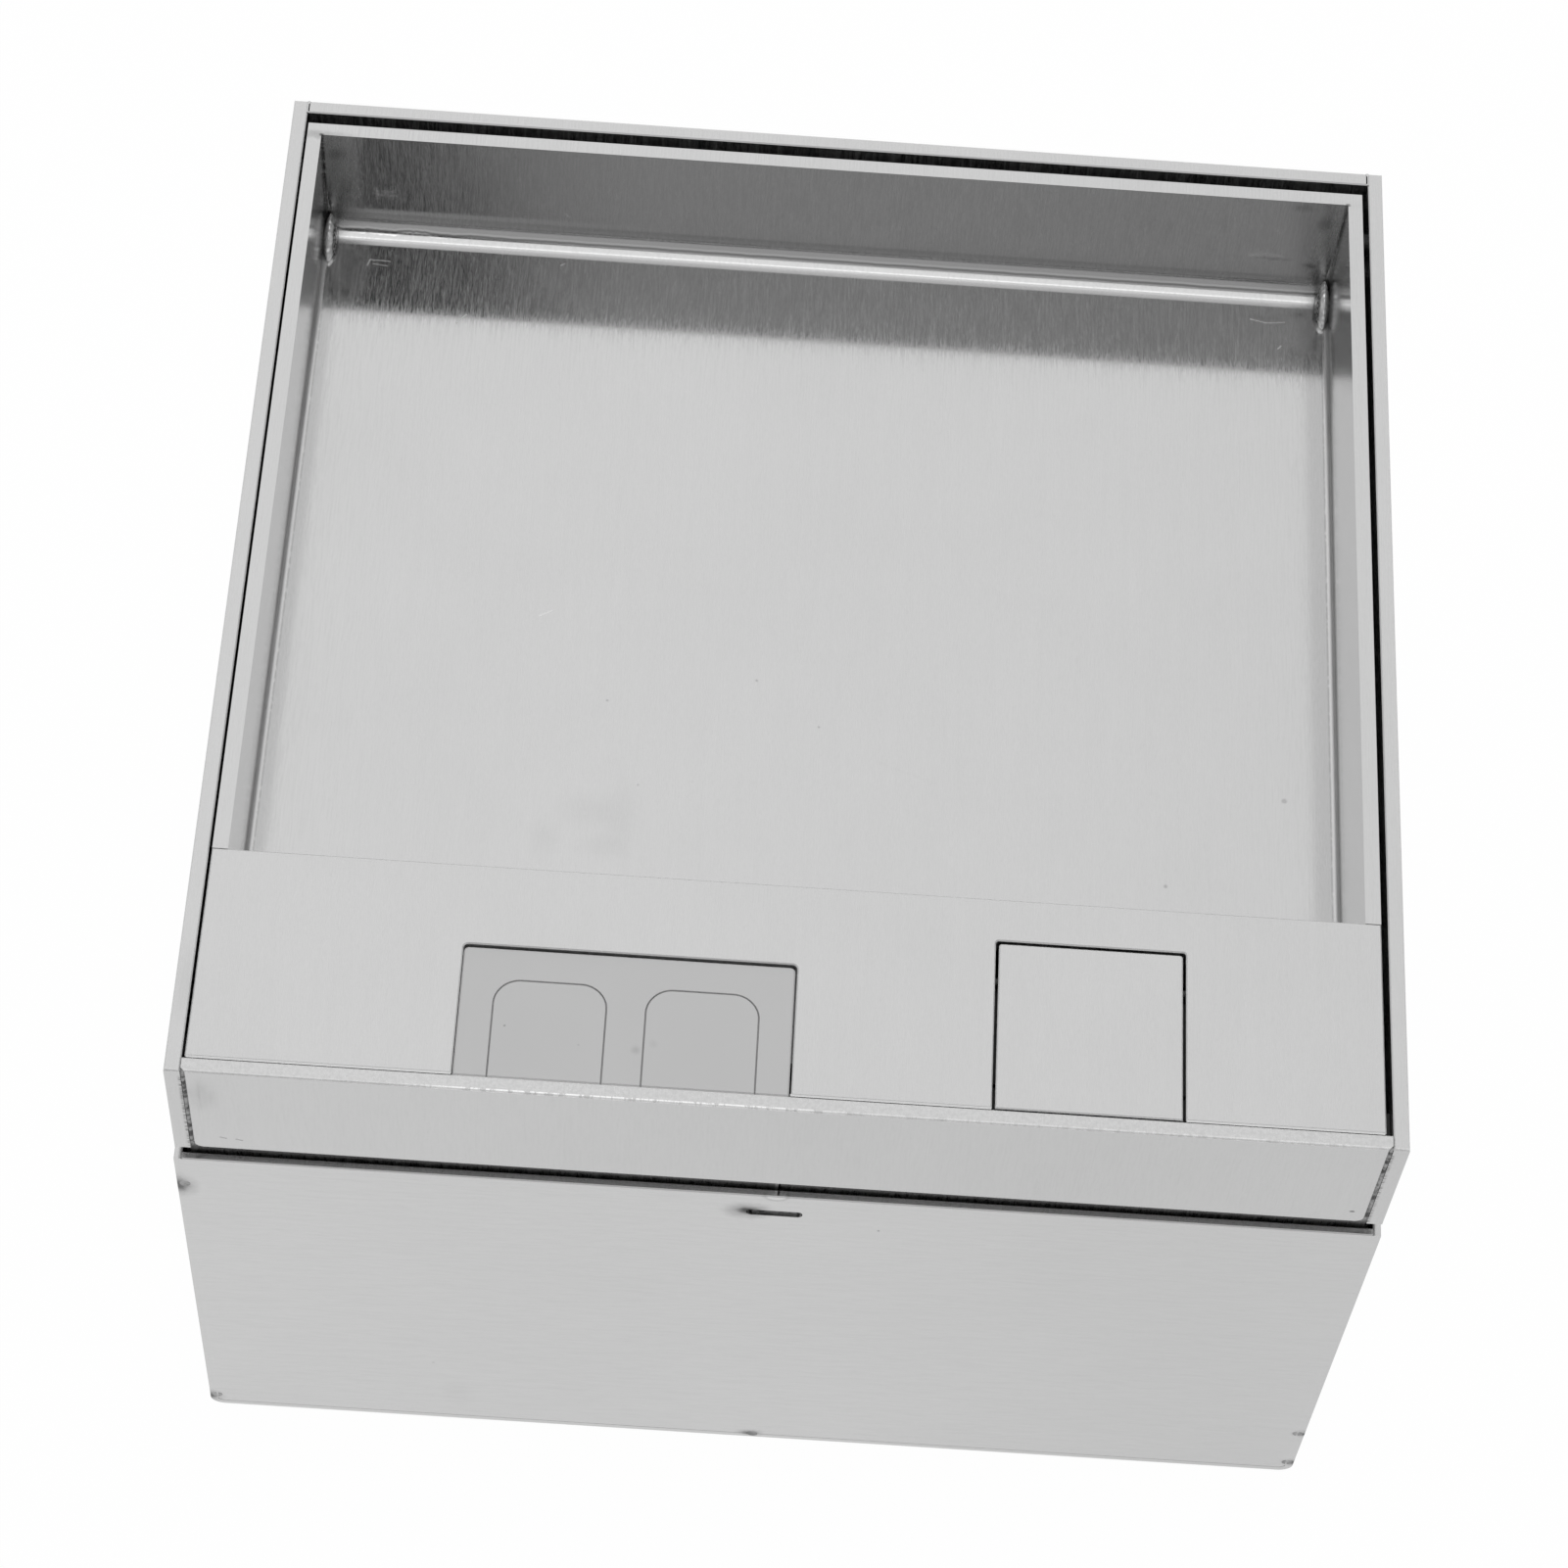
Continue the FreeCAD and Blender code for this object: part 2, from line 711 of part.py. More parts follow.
def lid_tray():
    """Folded pan for the floor covering, with open seams at its corners and two cheeks under the cover."""
    piece = Piece("lid_tray")
    across = ("lid_left", "lid_right")
    inside = ("lid_left + plate", "lid_right - plate")
    deep = ("tray_front", "lid_back")
    inside_deep = ("cover_back", "lid_back - plate")
    piece.pad("XY", ("tray_under", "top"), rectangle(across, deep))
    piece.pocket("XY", ("tray_floor", "top"), rectangle(inside, inside_deep))
    piece.pocket("XY", ("lid_under", "top"), rectangle(across, ("tray_front", "cover_back")))
    inner = lambda edge: (
        along("x", y=inside_deep, z=("tray_floor",))(edge) or along("y", x=inside, z=("tray_floor",))(edge)
    )
    outer = lambda edge: (
        along("x", y=deep, z=("tray_under",))(edge) or along("y", x=across, z=("tray_under",))(edge)
    )
    piece.fillet("tray_bend", inner)
    piece.fillet("tray_bend + plate", outer)
    piece.chamfer("edge_break", round_top("top"))
    cheek = ("lid_front + cheek_end", "tray_front")
    rise = ("lid_under - cheek_depth", "lid_under")
    piece.pad("YZ", ("lid_left", "lid_left + plate"), rectangle(cheek, rise))
    piece.pad("YZ", ("lid_right - plate", "lid_right"), rectangle(cheek, rise))
    slits = []
    for x in inside:
        for y in (("lid_back - plate", "lid_back"), ("tray_front", "cover_back")):
            slits.append(rectangle((f"{x} - tray_seam / 2", f"{x} + tray_seam / 2"), y))
    piece.pocket("XY", ("tray_floor + weld_height", "top"), *slits)
    bore = circle("hinge_y", "hinge_z", "hinge_radius + running")
    piece.pocket("YZ", ("lid_left", "lid_left + hinge_bite"), bore)
    piece.pocket("YZ", ("lid_right - hinge_bite", "lid_right"), bore)
    return piece.body


def tray_welds(tray):
    """Nuggets of weld at the foot of the pan's four corner seams."""
    walls = ("lid_left + plate", "lid_right - plate")
    ends = ("cover_back", "lid_back - plate")
    inside = block("pan_space", walls, ends, ("tray_floor", "top"))
    sizes = {"Radius1": "weld_height", "Radius2": "weld_width", "Radius3": "weld_reach"}
    nuggets = []
    for x in walls:
        for y in ends:
            name = f"nugget_{len(nuggets) + 1}"
            lens = primitive("Part::Ellipsoid", name + "_lens", (x, y, "tray_floor + weld_lift"), **sizes)
            nuggets.append(overlap(name, lens, inside))
    return cut("tray_corner_welds", group("tray_nuggets", nuggets), tray)


def lid_cover_plate():
    """Flat plate over the front of the lid, notched for the cable outlet and the lift flap."""
    piece = Piece("lid_cover_plate")
    outline = [
        ("lid_left", "lid_front"),
        ("outlet_left", "lid_front"),
        ("outlet_left", "outlet_back"),
        ("outlet_right", "outlet_back"),
        ("outlet_right", "lid_front"),
        ("flap_open_west", "lid_front"),
        ("flap_open_west", "flap_open_back"),
        ("flap_open_east", "flap_open_back"),
        ("flap_open_east", "lid_front"),
        ("lid_right", "lid_front"),
        ("lid_right", "cover_back"),
        ("lid_left", "cover_back"),
    ]
    piece.pad("XY", ("lid_under", "top"), outline)
    piece.fillet("outlet_corner", along("z", x=("outlet_left", "outlet_right"), y=("outlet_back",)))
    piece.fillet("flap_corner", along("z", x=("flap_open_west", "flap_open_east"), y=("flap_open_back",)))
    piece.chamfer("edge_break", round_top("top"))
    bore = circle("flap_pin_y", "flap_pin_z", "flap_pin_radius + running / 2")
    piece.pocket("YZ", ("flap_open_west - flap_pin_bite", "flap_open_east + flap_pin_bite"), bore)
    return piece.body


def cable_outlet_insert():
    """Moulded plate with two scored knock-outs, a lip that holds it under the cover, and a skirt."""
    piece = Piece("outlet_moulding")
    across = ("insert_west", "insert_east")
    deep = ("lid_front", "insert_north")
    piece.pad("XY", ("lid_under - insert_lip_sheet", "insert_top"), rectangle(across, deep))
    piece.fillet("outlet_corner", along("z", x=across, y=("insert_north",)))
    piece.chamfer("edge_break", round_top("insert_top"))
    wide = ("insert_west - insert_lip", "insert_east + insert_lip")
    lip = ("lid_front + ledge_width + insert_lip", "insert_north + insert_lip")
    piece.pad("XY", ("lid_under - insert_lip_sheet", "lid_under"), rectangle(wide, lip))
    skirt_low = "lid_under - insert_lip_sheet - insert_skirt"
    inner = (
        ("insert_west + insert_wall", "insert_east - insert_wall"),
        ("lid_front + insert_wall", "insert_north - insert_wall"),
    )
    piece.pad("XY", (skirt_low, "lid_under - insert_lip_sheet"), rectangle(across, deep), rectangle(*inner))
    scores = []
    for number, x in enumerate(both("knock_pitch / 2"), 1):
        middle = f"(insert_west + insert_east) / 2 + ({x})"
        scores.append(score(f"score_{number}", middle))
    return cut("cable_outlet_insert", piece.body, *scores)


def score(name, middle):
    """Shallow groove round one knock-out, open to the front, with rounded back corners."""
    rings = []
    for part, grow in (("outer", "score_width / 2"), ("inner", "-score_width / 2")):
        piece = Piece(f"{name}_{part}")
        half = f"(knock_width / 2 + {grow})"
        side = (f"({middle}) - {half}", f"({middle}) + {half}")
        back = f"lid_front + knock_reach + {grow}"
        rise = ("insert_top - score_depth", "insert_top + 1")
        piece.pad("XY", rise, rectangle(side, ("lid_front - 1", back)))
        piece.fillet(f"knock_corner + {grow}", along("z", x=side, y=(back,)))
        rings.append(piece.body)
    return cut(name, *rings)


# ---------------------------------------------------------------- lift flap


def lift_flap():
    """Plate that tips on a cross pin: its short back end is pressed and its front edge rises."""
    piece = Piece("lift_flap")
    across = ("flap_west", "flap_east")
    deep = ("lid_front", "flap_north")
    piece.pad("XY", ("lid_under", "top"), rectangle(across, deep))
    piece.fillet("flap_corner", along("z", x=across, y=("flap_north",)))
    piece.chamfer("edge_break", round_top("top"))
    piece.chamfer("plate / 3", along("x", y=("lid_front",), z=("lid_under",)))
    piece.pocket("YZ", across, circle("flap_pin_y", "flap_pin_z", "flap_pin_radius + pressed"))
    return piece.body


def flap_pin():
    reach = "flap_pin_bite - end_play"
    place = (f"flap_open_west - ({reach})", "flap_pin_y", "flap_pin_z")
    return rod("flap_pin", "flap_pin_radius", place, f"flap_open_east - flap_open_west + 2 * ({reach})", "x")


def flap_rest_strips():
    """Strips under the sides of the flap's front part, which stop it level with the cover."""
    deep = ("lid_front + ledge_width + strip_clear", "flap_pin_y - flap_pin_radius")
    rise = ("lid_under - strip_sheet", "lid_under")
    west = block("strip_left", ("flap_open_west - strip_seat", "flap_west + strip_overlap"), deep, rise)
    east = block("strip_right", ("flap_east - strip_overlap", "flap_open_east + strip_seat"), deep, rise)
    return group("flap_rest_strips", [west, east])


def flap_stop_bracket():
    """Bent strip behind the opening, whose lip stops the flap's back end at its full tilt."""
    piece = Piece("flap_stop_bracket")
    shelf_top = "stop_level - end_play"
    heel = "flap_open_back + strip_sheet"
    profile = [
        ("stop_reach - strip_sheet", f"{shelf_top} - strip_sheet"),
        (f"{heel} + strip_sheet", f"{shelf_top} - strip_sheet"),
        (f"{heel} + strip_sheet", "lid_under"),
        (heel, "lid_under"),
        (heel, shelf_top),
        ("stop_reach - strip_sheet", shelf_top),
    ]
    piece.pad("YZ", ("flap_west + strip_seat", "flap_east - strip_seat"), profile)
    return piece.body


# ---------------------------------------------------------------- carrier


def carrier_rail(name, sign):
    """Angle welded to a side wall, which the carrier plate is screwed down on."""
    piece = Piece(name)
    side = "-" if sign < 0 else ""
    profile = [
        ("-box_in", "carrier_height"),
        ("rail_shelf - box_in", "carrier_height"),
        ("rail_shelf - box_in", "carrier_height - rail_sheet"),
        ("rail_sheet - box_in", "carrier_height - rail_sheet"),
        ("rail_sheet - box_in", "carrier_height - rail_leg"),
        ("-box_in", "carrier_height - rail_leg"),
    ]
    if sign > 0:
        profile = [(minus(x), z) for x, z in profile]
    piece.pad("XZ", ("rail_inset - carrier_half", "carrier_half - rail_inset"), profile)
    x = f"{side}carrier_screw_x"
    holes = [circle(x, y, "screw_radius + thread_slack") for y in both("carrier_screw_pitch / 2")]
    piece.pocket("XY", ("carrier_height - rail_sheet", "carrier_height"), *holes)
    return piece.body


def carrier_screw_places():
    return [(x, y) for x in both("carrier_screw_x") for y in both("carrier_screw_pitch / 2")]


def trim_screw_places(row):
    return [(x, row) for x in both("row_half + trim_border / 2")]


def carrier_plate():
    """Plate with a window for each row of outlets."""
    piece = Piece("carrier_plate")
    half = "carrier_half"
    windows = []
    for row in both("row_offset"):
        wide = "row_half + carrier_slack"
        tall = "module_side / 2 + carrier_slack"
        windows.append(rectangle((f"-({wide})", wide), (f"({row}) - ({tall})", f"({row}) + {tall}")))
    outline = rectangle((minus(half), half), (minus(half), half))
    piece.pad("XY", ("carrier_height", "carrier_top"), outline, *windows)
    piece.fillet("trim_corner", along("z", x=both(half), y=both(half)))
    holes = [circle(x, y, "screw_radius + seam") for x, y in carrier_screw_places()]
    for row in both("row_offset"):
        holes += [circle(x, y, "trim_screw_radius + thread_slack") for x, y in trim_screw_places(row)]
    piece.pocket("XY", ("carrier_height", "carrier_top"), *holes)
    return piece.body


def carrier_screws():
    """Pan-head screws with a cross recess cut as two slots."""
    screws = []
    for x, y in carrier_screw_places():
        name = f"carrier_screw_{len(screws) + 1}"
        shank_place = (x, y, "carrier_top - screw_length")
        shank = slim_rod(name + "_shank", "screw_radius", shank_place, "screw_length")
        head = slim_rod(name + "_head", "screw_head_radius", (x, y, "carrier_top"), "screw_head_height")
        screws.append(cut(name, fuse(name + "_blank", shank, head), *cross(name, x, y)))
    return group("carrier_screws", screws)


def cross(name, x, y):
    """Two crossed slots in the top of a screw head."""
    thin = "cross_width / 2"
    rise = ("carrier_top + screw_head_height / 2", "carrier_top + screw_head_height")
    slots = []
    for wide, tall in (("cross_reach", thin), (thin, "cross_reach")):
        spans = [(f"({middle}) - {half}", f"({middle}) + {half}") for middle, half in ((x, wide), (y, tall))]
        slots.append(block(f"{name}_slot_{len(slots) + 1}", *spans, rise))
    return slots


def carrier_nuts():
    """Hexagon nuts pressed into the underside of the rails."""
    nuts = []
    for x, y in carrier_screw_places():
        name = f"carrier_nut_{len(nuts) + 1}"
        place = (x, y, "carrier_height - rail_sheet - nut_height")
        blank = hexagon(name + "_blank", "nut_flats", place, "nut_height")
        bore = slim_rod(name + "_bore", "screw_radius + thread_slack", place, "nut_height")
        nuts.append(cut(name, blank, bore))
    return group("carrier_nuts", nuts)


def trim_frame(name, row):
    """Moulded surround screwed to the carrier round one row of modules."""
    piece = Piece(name)
    wide = "row_half + trim_border"
    tall = "module_side / 2 + trim_border"
    hole_wide = "row_half + module_slack"
    hole_tall = "module_side / 2 + module_slack"
    outer = rectangle((f"-({wide})", wide), (f"({row}) - ({tall})", f"({row}) + {tall}"))
    window = rectangle((f"-({hole_wide})", hole_wide), (f"({row}) - ({hole_tall})", f"({row}) + {hole_tall}"))
    trim_top = "carrier_top + trim_height"
    piece.pad("XY", ("carrier_top", trim_top), outer, window)
    piece.fillet("trim_corner", along("z", x=both(wide), y=(f"({row}) - ({tall})", f"({row}) + {tall}")))
    outside = lambda edge: (
        along("x", y=(f"({row}) - ({tall})", f"({row}) + {tall}"), z=(trim_top,))(edge)
        or along("y", x=both(wide), z=(trim_top,))(edge)
    )
    piece.chamfer("trim_height / 4", outside)
    places = trim_screw_places(row)
    for radius, drop in (("trim_screw_radius", "trim_height"), ("trim_screw_head", "trim_screw_sink")):
        rise = (f"{trim_top} - {drop}", trim_top)
        piece.pocket("XY", rise, *[circle(x, y, radius + " + seam") for x, y in places])
    return piece.body


def trim_screws():
    """Small flat-head screws that hold the surrounds to the carrier."""
    screws = []
    seat = "carrier_top + trim_height - trim_screw_sink"
    for row in both("row_offset"):
        for x, y in trim_screw_places(row):
            name = f"trim_screw_{len(screws) + 1}"
            low = "carrier_height - trim_screw_tail"
            shank = slim_rod(name + "_shank", "trim_screw_radius", (x, y, low), f"({seat}) - ({low})")
            head = slim_rod(name + "_head", "trim_screw_head", (x, y, seat), "trim_screw_sink - seam")
            screws.append(fuse(name, shank, head))
    return group("trim_screws", screws)


# ---------------------------------------------------------------- outlet modules


def module_blank(name, x, y, depth):
    """Face plate, body and two snap lugs that every 45 mm module has."""
    piece = Piece(name)
    face = "module_side / 2 - module_slack / 2"
    span = lambda middle, half: (f"({middle}) - ({half})", f"({middle}) + {half}")
    piece.pad("XY", ("carrier_top", "face_top"), rectangle(span(x, face), span(y, face)))
    piece.fillet("module_corner", along("z"))
    body = rectangle(span(x, "body_half"), span(y, "body_half"))
    piece.pad("XY", (f"face_top - ({depth})", "carrier_top"), body)
    lug = "module_side / 2 + carrier_slack + snap_reach"
    lug_rise = ("carrier_height - snap_height - seam", "carrier_height - seam")
    piece.pad("XY", lug_rise, rectangle(span(x, "snap_width / 2"), span(y, lug)))
    return piece


def power_socket(name, x, y):
    """Round-recess earthed outlet with two pin holes, side keys and slots for the earth clips."""
    piece = module_blank(name + "_moulding", x, y, "socket_depth + module_face")
    piece.pocket("XY", ("recess_floor", "face_top"), circle(x, y, "recess_radius"))
    pins = [circle(f"({x}) + {pin}", y, "pin_hole_radius") for pin in ("pin_pitch / 2", "-pin_pitch / 2")]
    piece.pocket("XY", ("recess_floor - pin_hole_depth", "recess_floor"), *pins)
    keys = []
    for side in both("recess_radius - key_depth / 2"):
        middle = f"({x}) + ({side})"
        keys.append(
            block(
                f"{name}_key_{len(keys) + 1}",
                (f"{middle} - key_depth / 2 - seam", f"{middle} + key_depth / 2 + seam"),
                (f"({y}) - key_width / 2", f"({y}) + key_width / 2"),
                ("recess_floor - seam", "face_top - key_drop"),
            )
        )
    return fuse(name, piece.body, *keys)


def earth_clips(places):
    """Sprung strips up the wall of each recess, bowed inwards to meet the plug's side contacts."""
    clips = []
    wall = "sqrt(recess_radius * recess_radius - clip_width * clip_width / 4) - seam"
    low = "recess_floor"
    high = "face_top - key_drop"
    for x, y in places:
        for sign in ("", "-"):
            piece = Piece(f"earth_clip_{len(clips) + 1}")
            outward = f"({y}) + {sign}1 * ({wall})"
            inward = f"({y}) + {sign}1 * ({wall} - clip_sheet)"
            bowed = f"({y}) + {sign}1 * ({wall} - clip_bulge)"
            bowed_in = f"({y}) + {sign}1 * ({wall} - clip_bulge - clip_sheet)"
            middle = f"(({low}) + ({high})) / 2"
            profile = [
                (outward, low),
                (outward, f"{low} + clip_sheet"),
                (bowed, middle),
                (outward, high),
                (inward, high),
                (bowed_in, middle),
                (inward, low),
            ]
            piece.pad("YZ", (f"({x}) - clip_width / 2", f"({x}) + clip_width / 2"), profile)
            clips.append(piece.body)
    return group("socket_earth_clips", clips)


def socket_contacts(places):
    """Brass tubes in the pin holes."""
    tubes = []
    low = "recess_floor - pin_hole_depth"
    length = "pin_hole_depth - contact_drop"
    for x, y in places:
        for pin in ("pin_pitch / 2", "-pin_pitch / 2"):
            name = f"contact_{len(tubes) + 1}"
            place = (f"({x}) + {pin}", y, low)
            outer = slim_rod(name + "_outer", "contact_radius", place, length)
            inner = slim_rod(name + "_inner", "contact_radius - contact_wall", place, length)
            tubes.append(cut(name, outer, inner))
    return group("socket_contacts", tubes)


def jack_places(x):
    return [f"({x}) + {side}" for side in ("jack_pitch / 2", "-jack_pitch / 2")]


def data_module(name, x, y):
    """Module with two openings for data jacks."""
    piece = module_blank(name, x, y, "data_body_depth + module_face")
    half = "jack_width / 2 + jack_slack"
    tall = "jack_length / 2 + jack_slack"
    deep = (f"({y}) - ({tall})", f"({y}) + {tall}")
    openings = [rectangle((f"{middle} - ({half})", f"{middle} + {half}"), deep) for middle in jack_places(x)]
    piece.pocket("XY", ("face_top - data_body_depth - module_face", "face_top"), *openings)
    return piece.body


def data_jack(name, x, y):
    """Eight-way jack: a plug port with a latch notch below it."""
    piece = Piece(name)
    half = "jack_width / 2"
    tall = "jack_length / 2"
    span = lambda middle, size: (f"({middle}) - ({size})", f"({middle}) + {size}")
    piece.pad("XY", ("face_top - jack_depth", "face_top - seam"), rectangle(span(x, half), span(y, tall)))
    port = rectangle(span(x, "port_width / 2"), span(y, "port_length / 2"))
    piece.pocket("XY", ("face_top - port_depth", "face_top"), port)
    low = f"({y}) - port_length / 2 - latch_length"
    notch = rectangle(span(x, "latch_width / 2"), (low, f"({y}) - port_length / 2 + seam"))
    piece.pocket("XY", ("face_top - latch_depth", "face_top"), notch)
    return piece.body


def jack_contacts(jacks):
    """Eight sprung wires along the upper wall of each port."""
    wires = []
    for x, y in jacks:
        for step in range(8):
            middle = f"({x}) + ({step} - 3.5) * wire_pitch"
            across = (f"{middle} - wire_side / 2", f"{middle} + wire_side / 2")
            deep = (f"({y}) + port_length / 2 - wire_side - seam", f"({y}) + port_length / 2 - seam")
            rise = ("face_top - port_depth", "face_top - wire_drop")
            wires.append(block(f"wire_{len(wires) + 1}", across, deep, rise))
    return group("jack_contacts", wires)


# ---------------------------------------------------------------- earth stud


def earth_stud():
    place = ("-stud_place", "-stud_place", "box_sheet")
    return slim_rod("earth_stud", "stud_radius", place, "stud_height")


def stud_levels():
    """Heights of the underside of each washer on the stud: a lower pair and an upper pair with its nut."""
    first = "box_sheet"
    second = "box_sheet + washer_sheet + stud_nut_height"
    return first, second


def earth_washers():
    rings = []
    for level in stud_levels():
        name = f"earth_washer_{len(rings) + 1}"
        place = ("-stud_place", "-stud_place", level)
        outer = slim_rod(name + "_disc", "washer_radius", place, "washer_sheet")
        hole = slim_rod(name + "_hole", "stud_radius + seam", place, "washer_sheet")
        rings.append(cut(name, outer, hole))
    return group("earth_washers", rings)


def earth_nuts():
    nuts = []
    for level in stud_levels():
        name = f"earth_nut_{len(nuts) + 1}"
        place = ("-stud_place", "-stud_place", f"{level} + washer_sheet")
        blank = hexagon(name + "_blank", "stud_nut", place, "stud_nut_height")
        bore = slim_rod(name + "_bore", "stud_radius + thread_slack", place, "stud_nut_height")
        nuts.append(cut(name, blank, bore))
    return group("earth_nuts", nuts)


# ---------------------------------------------------------------- the whole box


def build():
    """Makes every sub-part and returns them in the order they are put together."""
    welds = tack_welds()
    back_wall = ("box_in - 1", "box_half + 1")
    back_rings = [
        knock_out(f"back_knock_out_{number}", x, "conduit_height", back_wall, "y")
        for number, x in enumerate(both("conduit_pitch / 2"), 1)
    ]
    plates = [
        frame_side_plate("frame_plate_left", -1),
        frame_side_plate("frame_plate_right", 1),
        frame_end_plate("frame_plate_front", -1),
        frame_end_plate("frame_plate_back", 1),
    ]
    tray = lid_tray()
    sockets = {"left": "-module_side", "middle": "0", "right": "module_side"}
    socket_places = [(x, "row_offset") for x in sockets.values()]
    data_x, front_row = "-module_side", "-row_offset"
    jacks = [(x, front_row) for x in jack_places(data_x)]
    return [
        welds,
        box_body(welds),
        box_panel("box_front_panel", -1, welds),
        box_panel("box_back_panel", 1, welds, *back_rings),
        rest_brackets(),
        levelling_nuts(),
        levelling_screws(),
        inner_collar(),
        lid_buffers(),
        *plates,
        corner_welds(plates),
        front_ledge(),
        hinge_pins(),
        tray,
        tray_welds(tray),
        lid_cover_plate(),
        cable_outlet_insert(),
        lift_flap(),
        flap_pin(),
        flap_rest_strips(),
        flap_stop_bracket(),
        carrier_rail("carrier_rail_left", -1),
        carrier_rail("carrier_rail_right", 1),
        carrier_plate(),
        carrier_screws(),
        carrier_nuts(),
        trim_frame("power_trim", "row_offset"),
        trim_frame("data_trim", "-row_offset"),
        trim_screws(),
        *[power_socket(f"power_socket_{side}", x, "row_offset") for side, x in sockets.items()],
        earth_clips(socket_places),
        socket_contacts(socket_places),
        data_module("data_module", data_x, front_row),
        *[data_jack(f"data_jack_{side}", *place) for side, place in zip(("right", "left"), jacks)],
        jack_contacts(jacks),
        module_blank("blank_module_middle", "0", front_row, "blank_depth").body,
        module_blank("blank_module_right", "module_side", front_row, "blank_depth").body,
        earth_stud(),
        earth_washers(),
        earth_nuts(),
    ]


def check(parts):
    """Stops if any object failed or any sub-part has no sound shape."""
    failed = [thing.Label for thing in doc.Objects if {"Invalid", "Error"} & set(thing.State)]
    if failed:
        raise RuntimeError(f"these objects failed to build: {failed}")
    for part in parts:
        if part.Shape.isNull() or not part.Shape.isValid() or not part.Shape.Solids:
            raise RuntimeError(f"{part.Label} has no valid solid")


parts = build()
doc.recompute()
check(parts)
os.makedirs("parts", exist_ok=True)
for part in parts:
    part.Shape.exportStep(f"parts/{part.Label}.step")
    print(part.Label, len(part.Shape.Solids), round(part.Shape.Volume, 1))
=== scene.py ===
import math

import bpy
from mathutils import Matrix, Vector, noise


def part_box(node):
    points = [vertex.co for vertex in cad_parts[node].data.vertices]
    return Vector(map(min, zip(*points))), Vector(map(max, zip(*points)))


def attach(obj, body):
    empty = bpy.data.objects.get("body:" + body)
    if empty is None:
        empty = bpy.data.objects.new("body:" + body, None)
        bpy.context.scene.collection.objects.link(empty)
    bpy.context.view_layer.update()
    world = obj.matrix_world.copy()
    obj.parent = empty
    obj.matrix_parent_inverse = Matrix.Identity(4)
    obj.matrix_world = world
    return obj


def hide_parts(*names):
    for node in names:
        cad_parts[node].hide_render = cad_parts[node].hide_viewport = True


bl_info = {
    "name": "Floor socket box finishes",
    "version": (1, 0, 0),
    "blender": (4, 5, 0),
    "location": "3D View > Sidebar > Floor box",
    "description": "Brushed steel, weld and plastic finishes and fine detail for a floor socket box",
    "category": "Object",
}

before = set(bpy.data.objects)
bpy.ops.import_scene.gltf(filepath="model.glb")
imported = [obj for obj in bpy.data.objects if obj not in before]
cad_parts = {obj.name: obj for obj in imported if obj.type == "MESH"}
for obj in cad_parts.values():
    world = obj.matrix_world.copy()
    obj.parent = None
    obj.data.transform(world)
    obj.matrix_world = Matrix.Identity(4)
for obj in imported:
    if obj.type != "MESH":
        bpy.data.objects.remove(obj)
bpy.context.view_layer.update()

MM = 0.001

# Corners of the pieces that new pieces, marks, worn edges and painted highlights are placed by.
PANEL_LOW, PANEL_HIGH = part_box("box_front_panel")
BOX_LOW, BOX_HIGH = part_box("box_body")
BAR_LOW, BAR_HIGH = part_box("frame_plate_front")
TRAY_LOW, TRAY_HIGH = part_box("lid_tray")
COVER_LOW, COVER_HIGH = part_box("lid_cover_plate")
PIN_LOW, PIN_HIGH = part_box("hinge_pins")
INSERT_LOW, INSERT_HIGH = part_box("cable_outlet_insert")
FLAP_LOW, FLAP_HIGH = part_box("lift_flap")
PLATE = COVER_HIGH.z - COVER_LOW.z
SHEET = 1.5 * MM
PAN_FLOOR = TRAY_LOW.z + PLATE
PAN_BACK = TRAY_HIGH.y - PLATE
PAN_WEST = TRAY_LOW.x + PLATE
PAN_EAST = TRAY_HIGH.x - PLATE
PAN_FOLD = 5.2 * MM
SIDE_FOLD = 1.2 * MM
EDGE_BREAK = 0.25 * MM
SLOT_HEIGHT = 110.2 * MM
HAIR = 0.01 * MM


def in_mm(*values):
    """Millimetres as metres."""
    return tuple(value * MM for value in values)


# ---------------------------------------------------------------- shader writing


class Flow:
    """A socket that can be used in sums: each operator adds one Math node."""

    def __init__(self, paint, socket):
        self.paint = paint
        self.socket = socket

    def sum_with(self, operation, *items):
        return self.paint.node("Math", {"operation": operation}, dict(enumerate(items)))

    def __add__(self, other):
        return self.sum_with("ADD", self, other)

    __radd__ = __add__

    def __sub__(self, other):
        return self.sum_with("SUBTRACT", self, other)

    def __rsub__(self, other):
        return self.sum_with("SUBTRACT", other, self)

    def __mul__(self, other):
        return self.sum_with("MULTIPLY", self, other)

    __rmul__ = __mul__

    def __gt__(self, other):
        return self.sum_with("GREATER_THAN", self, other)

    def __lt__(self, other):
        return self.sum_with("LESS_THAN", self, other)

    def __abs__(self):
        return self.sum_with("ABSOLUTE", self)

    def higher(self, other):
        return self.sum_with("MAXIMUM", self, other)

    def ramp(self, low, high, start=0.0, end=1.0):
        """Start below low, end above high, and a smooth change between them."""
        inputs = {"Value": self, "From Min": low, "From Max": high, "To Min": start, "To Max": end}
        return self.paint.node("MapRange", {"interpolation_type": "SMOOTHSTEP"}, inputs)

    def near(self, value, half):
        """1 at a value, fading to 0 at half a width from it."""
        return abs(self - value).ramp(half * 0.4, half, 1.0, 0.0)


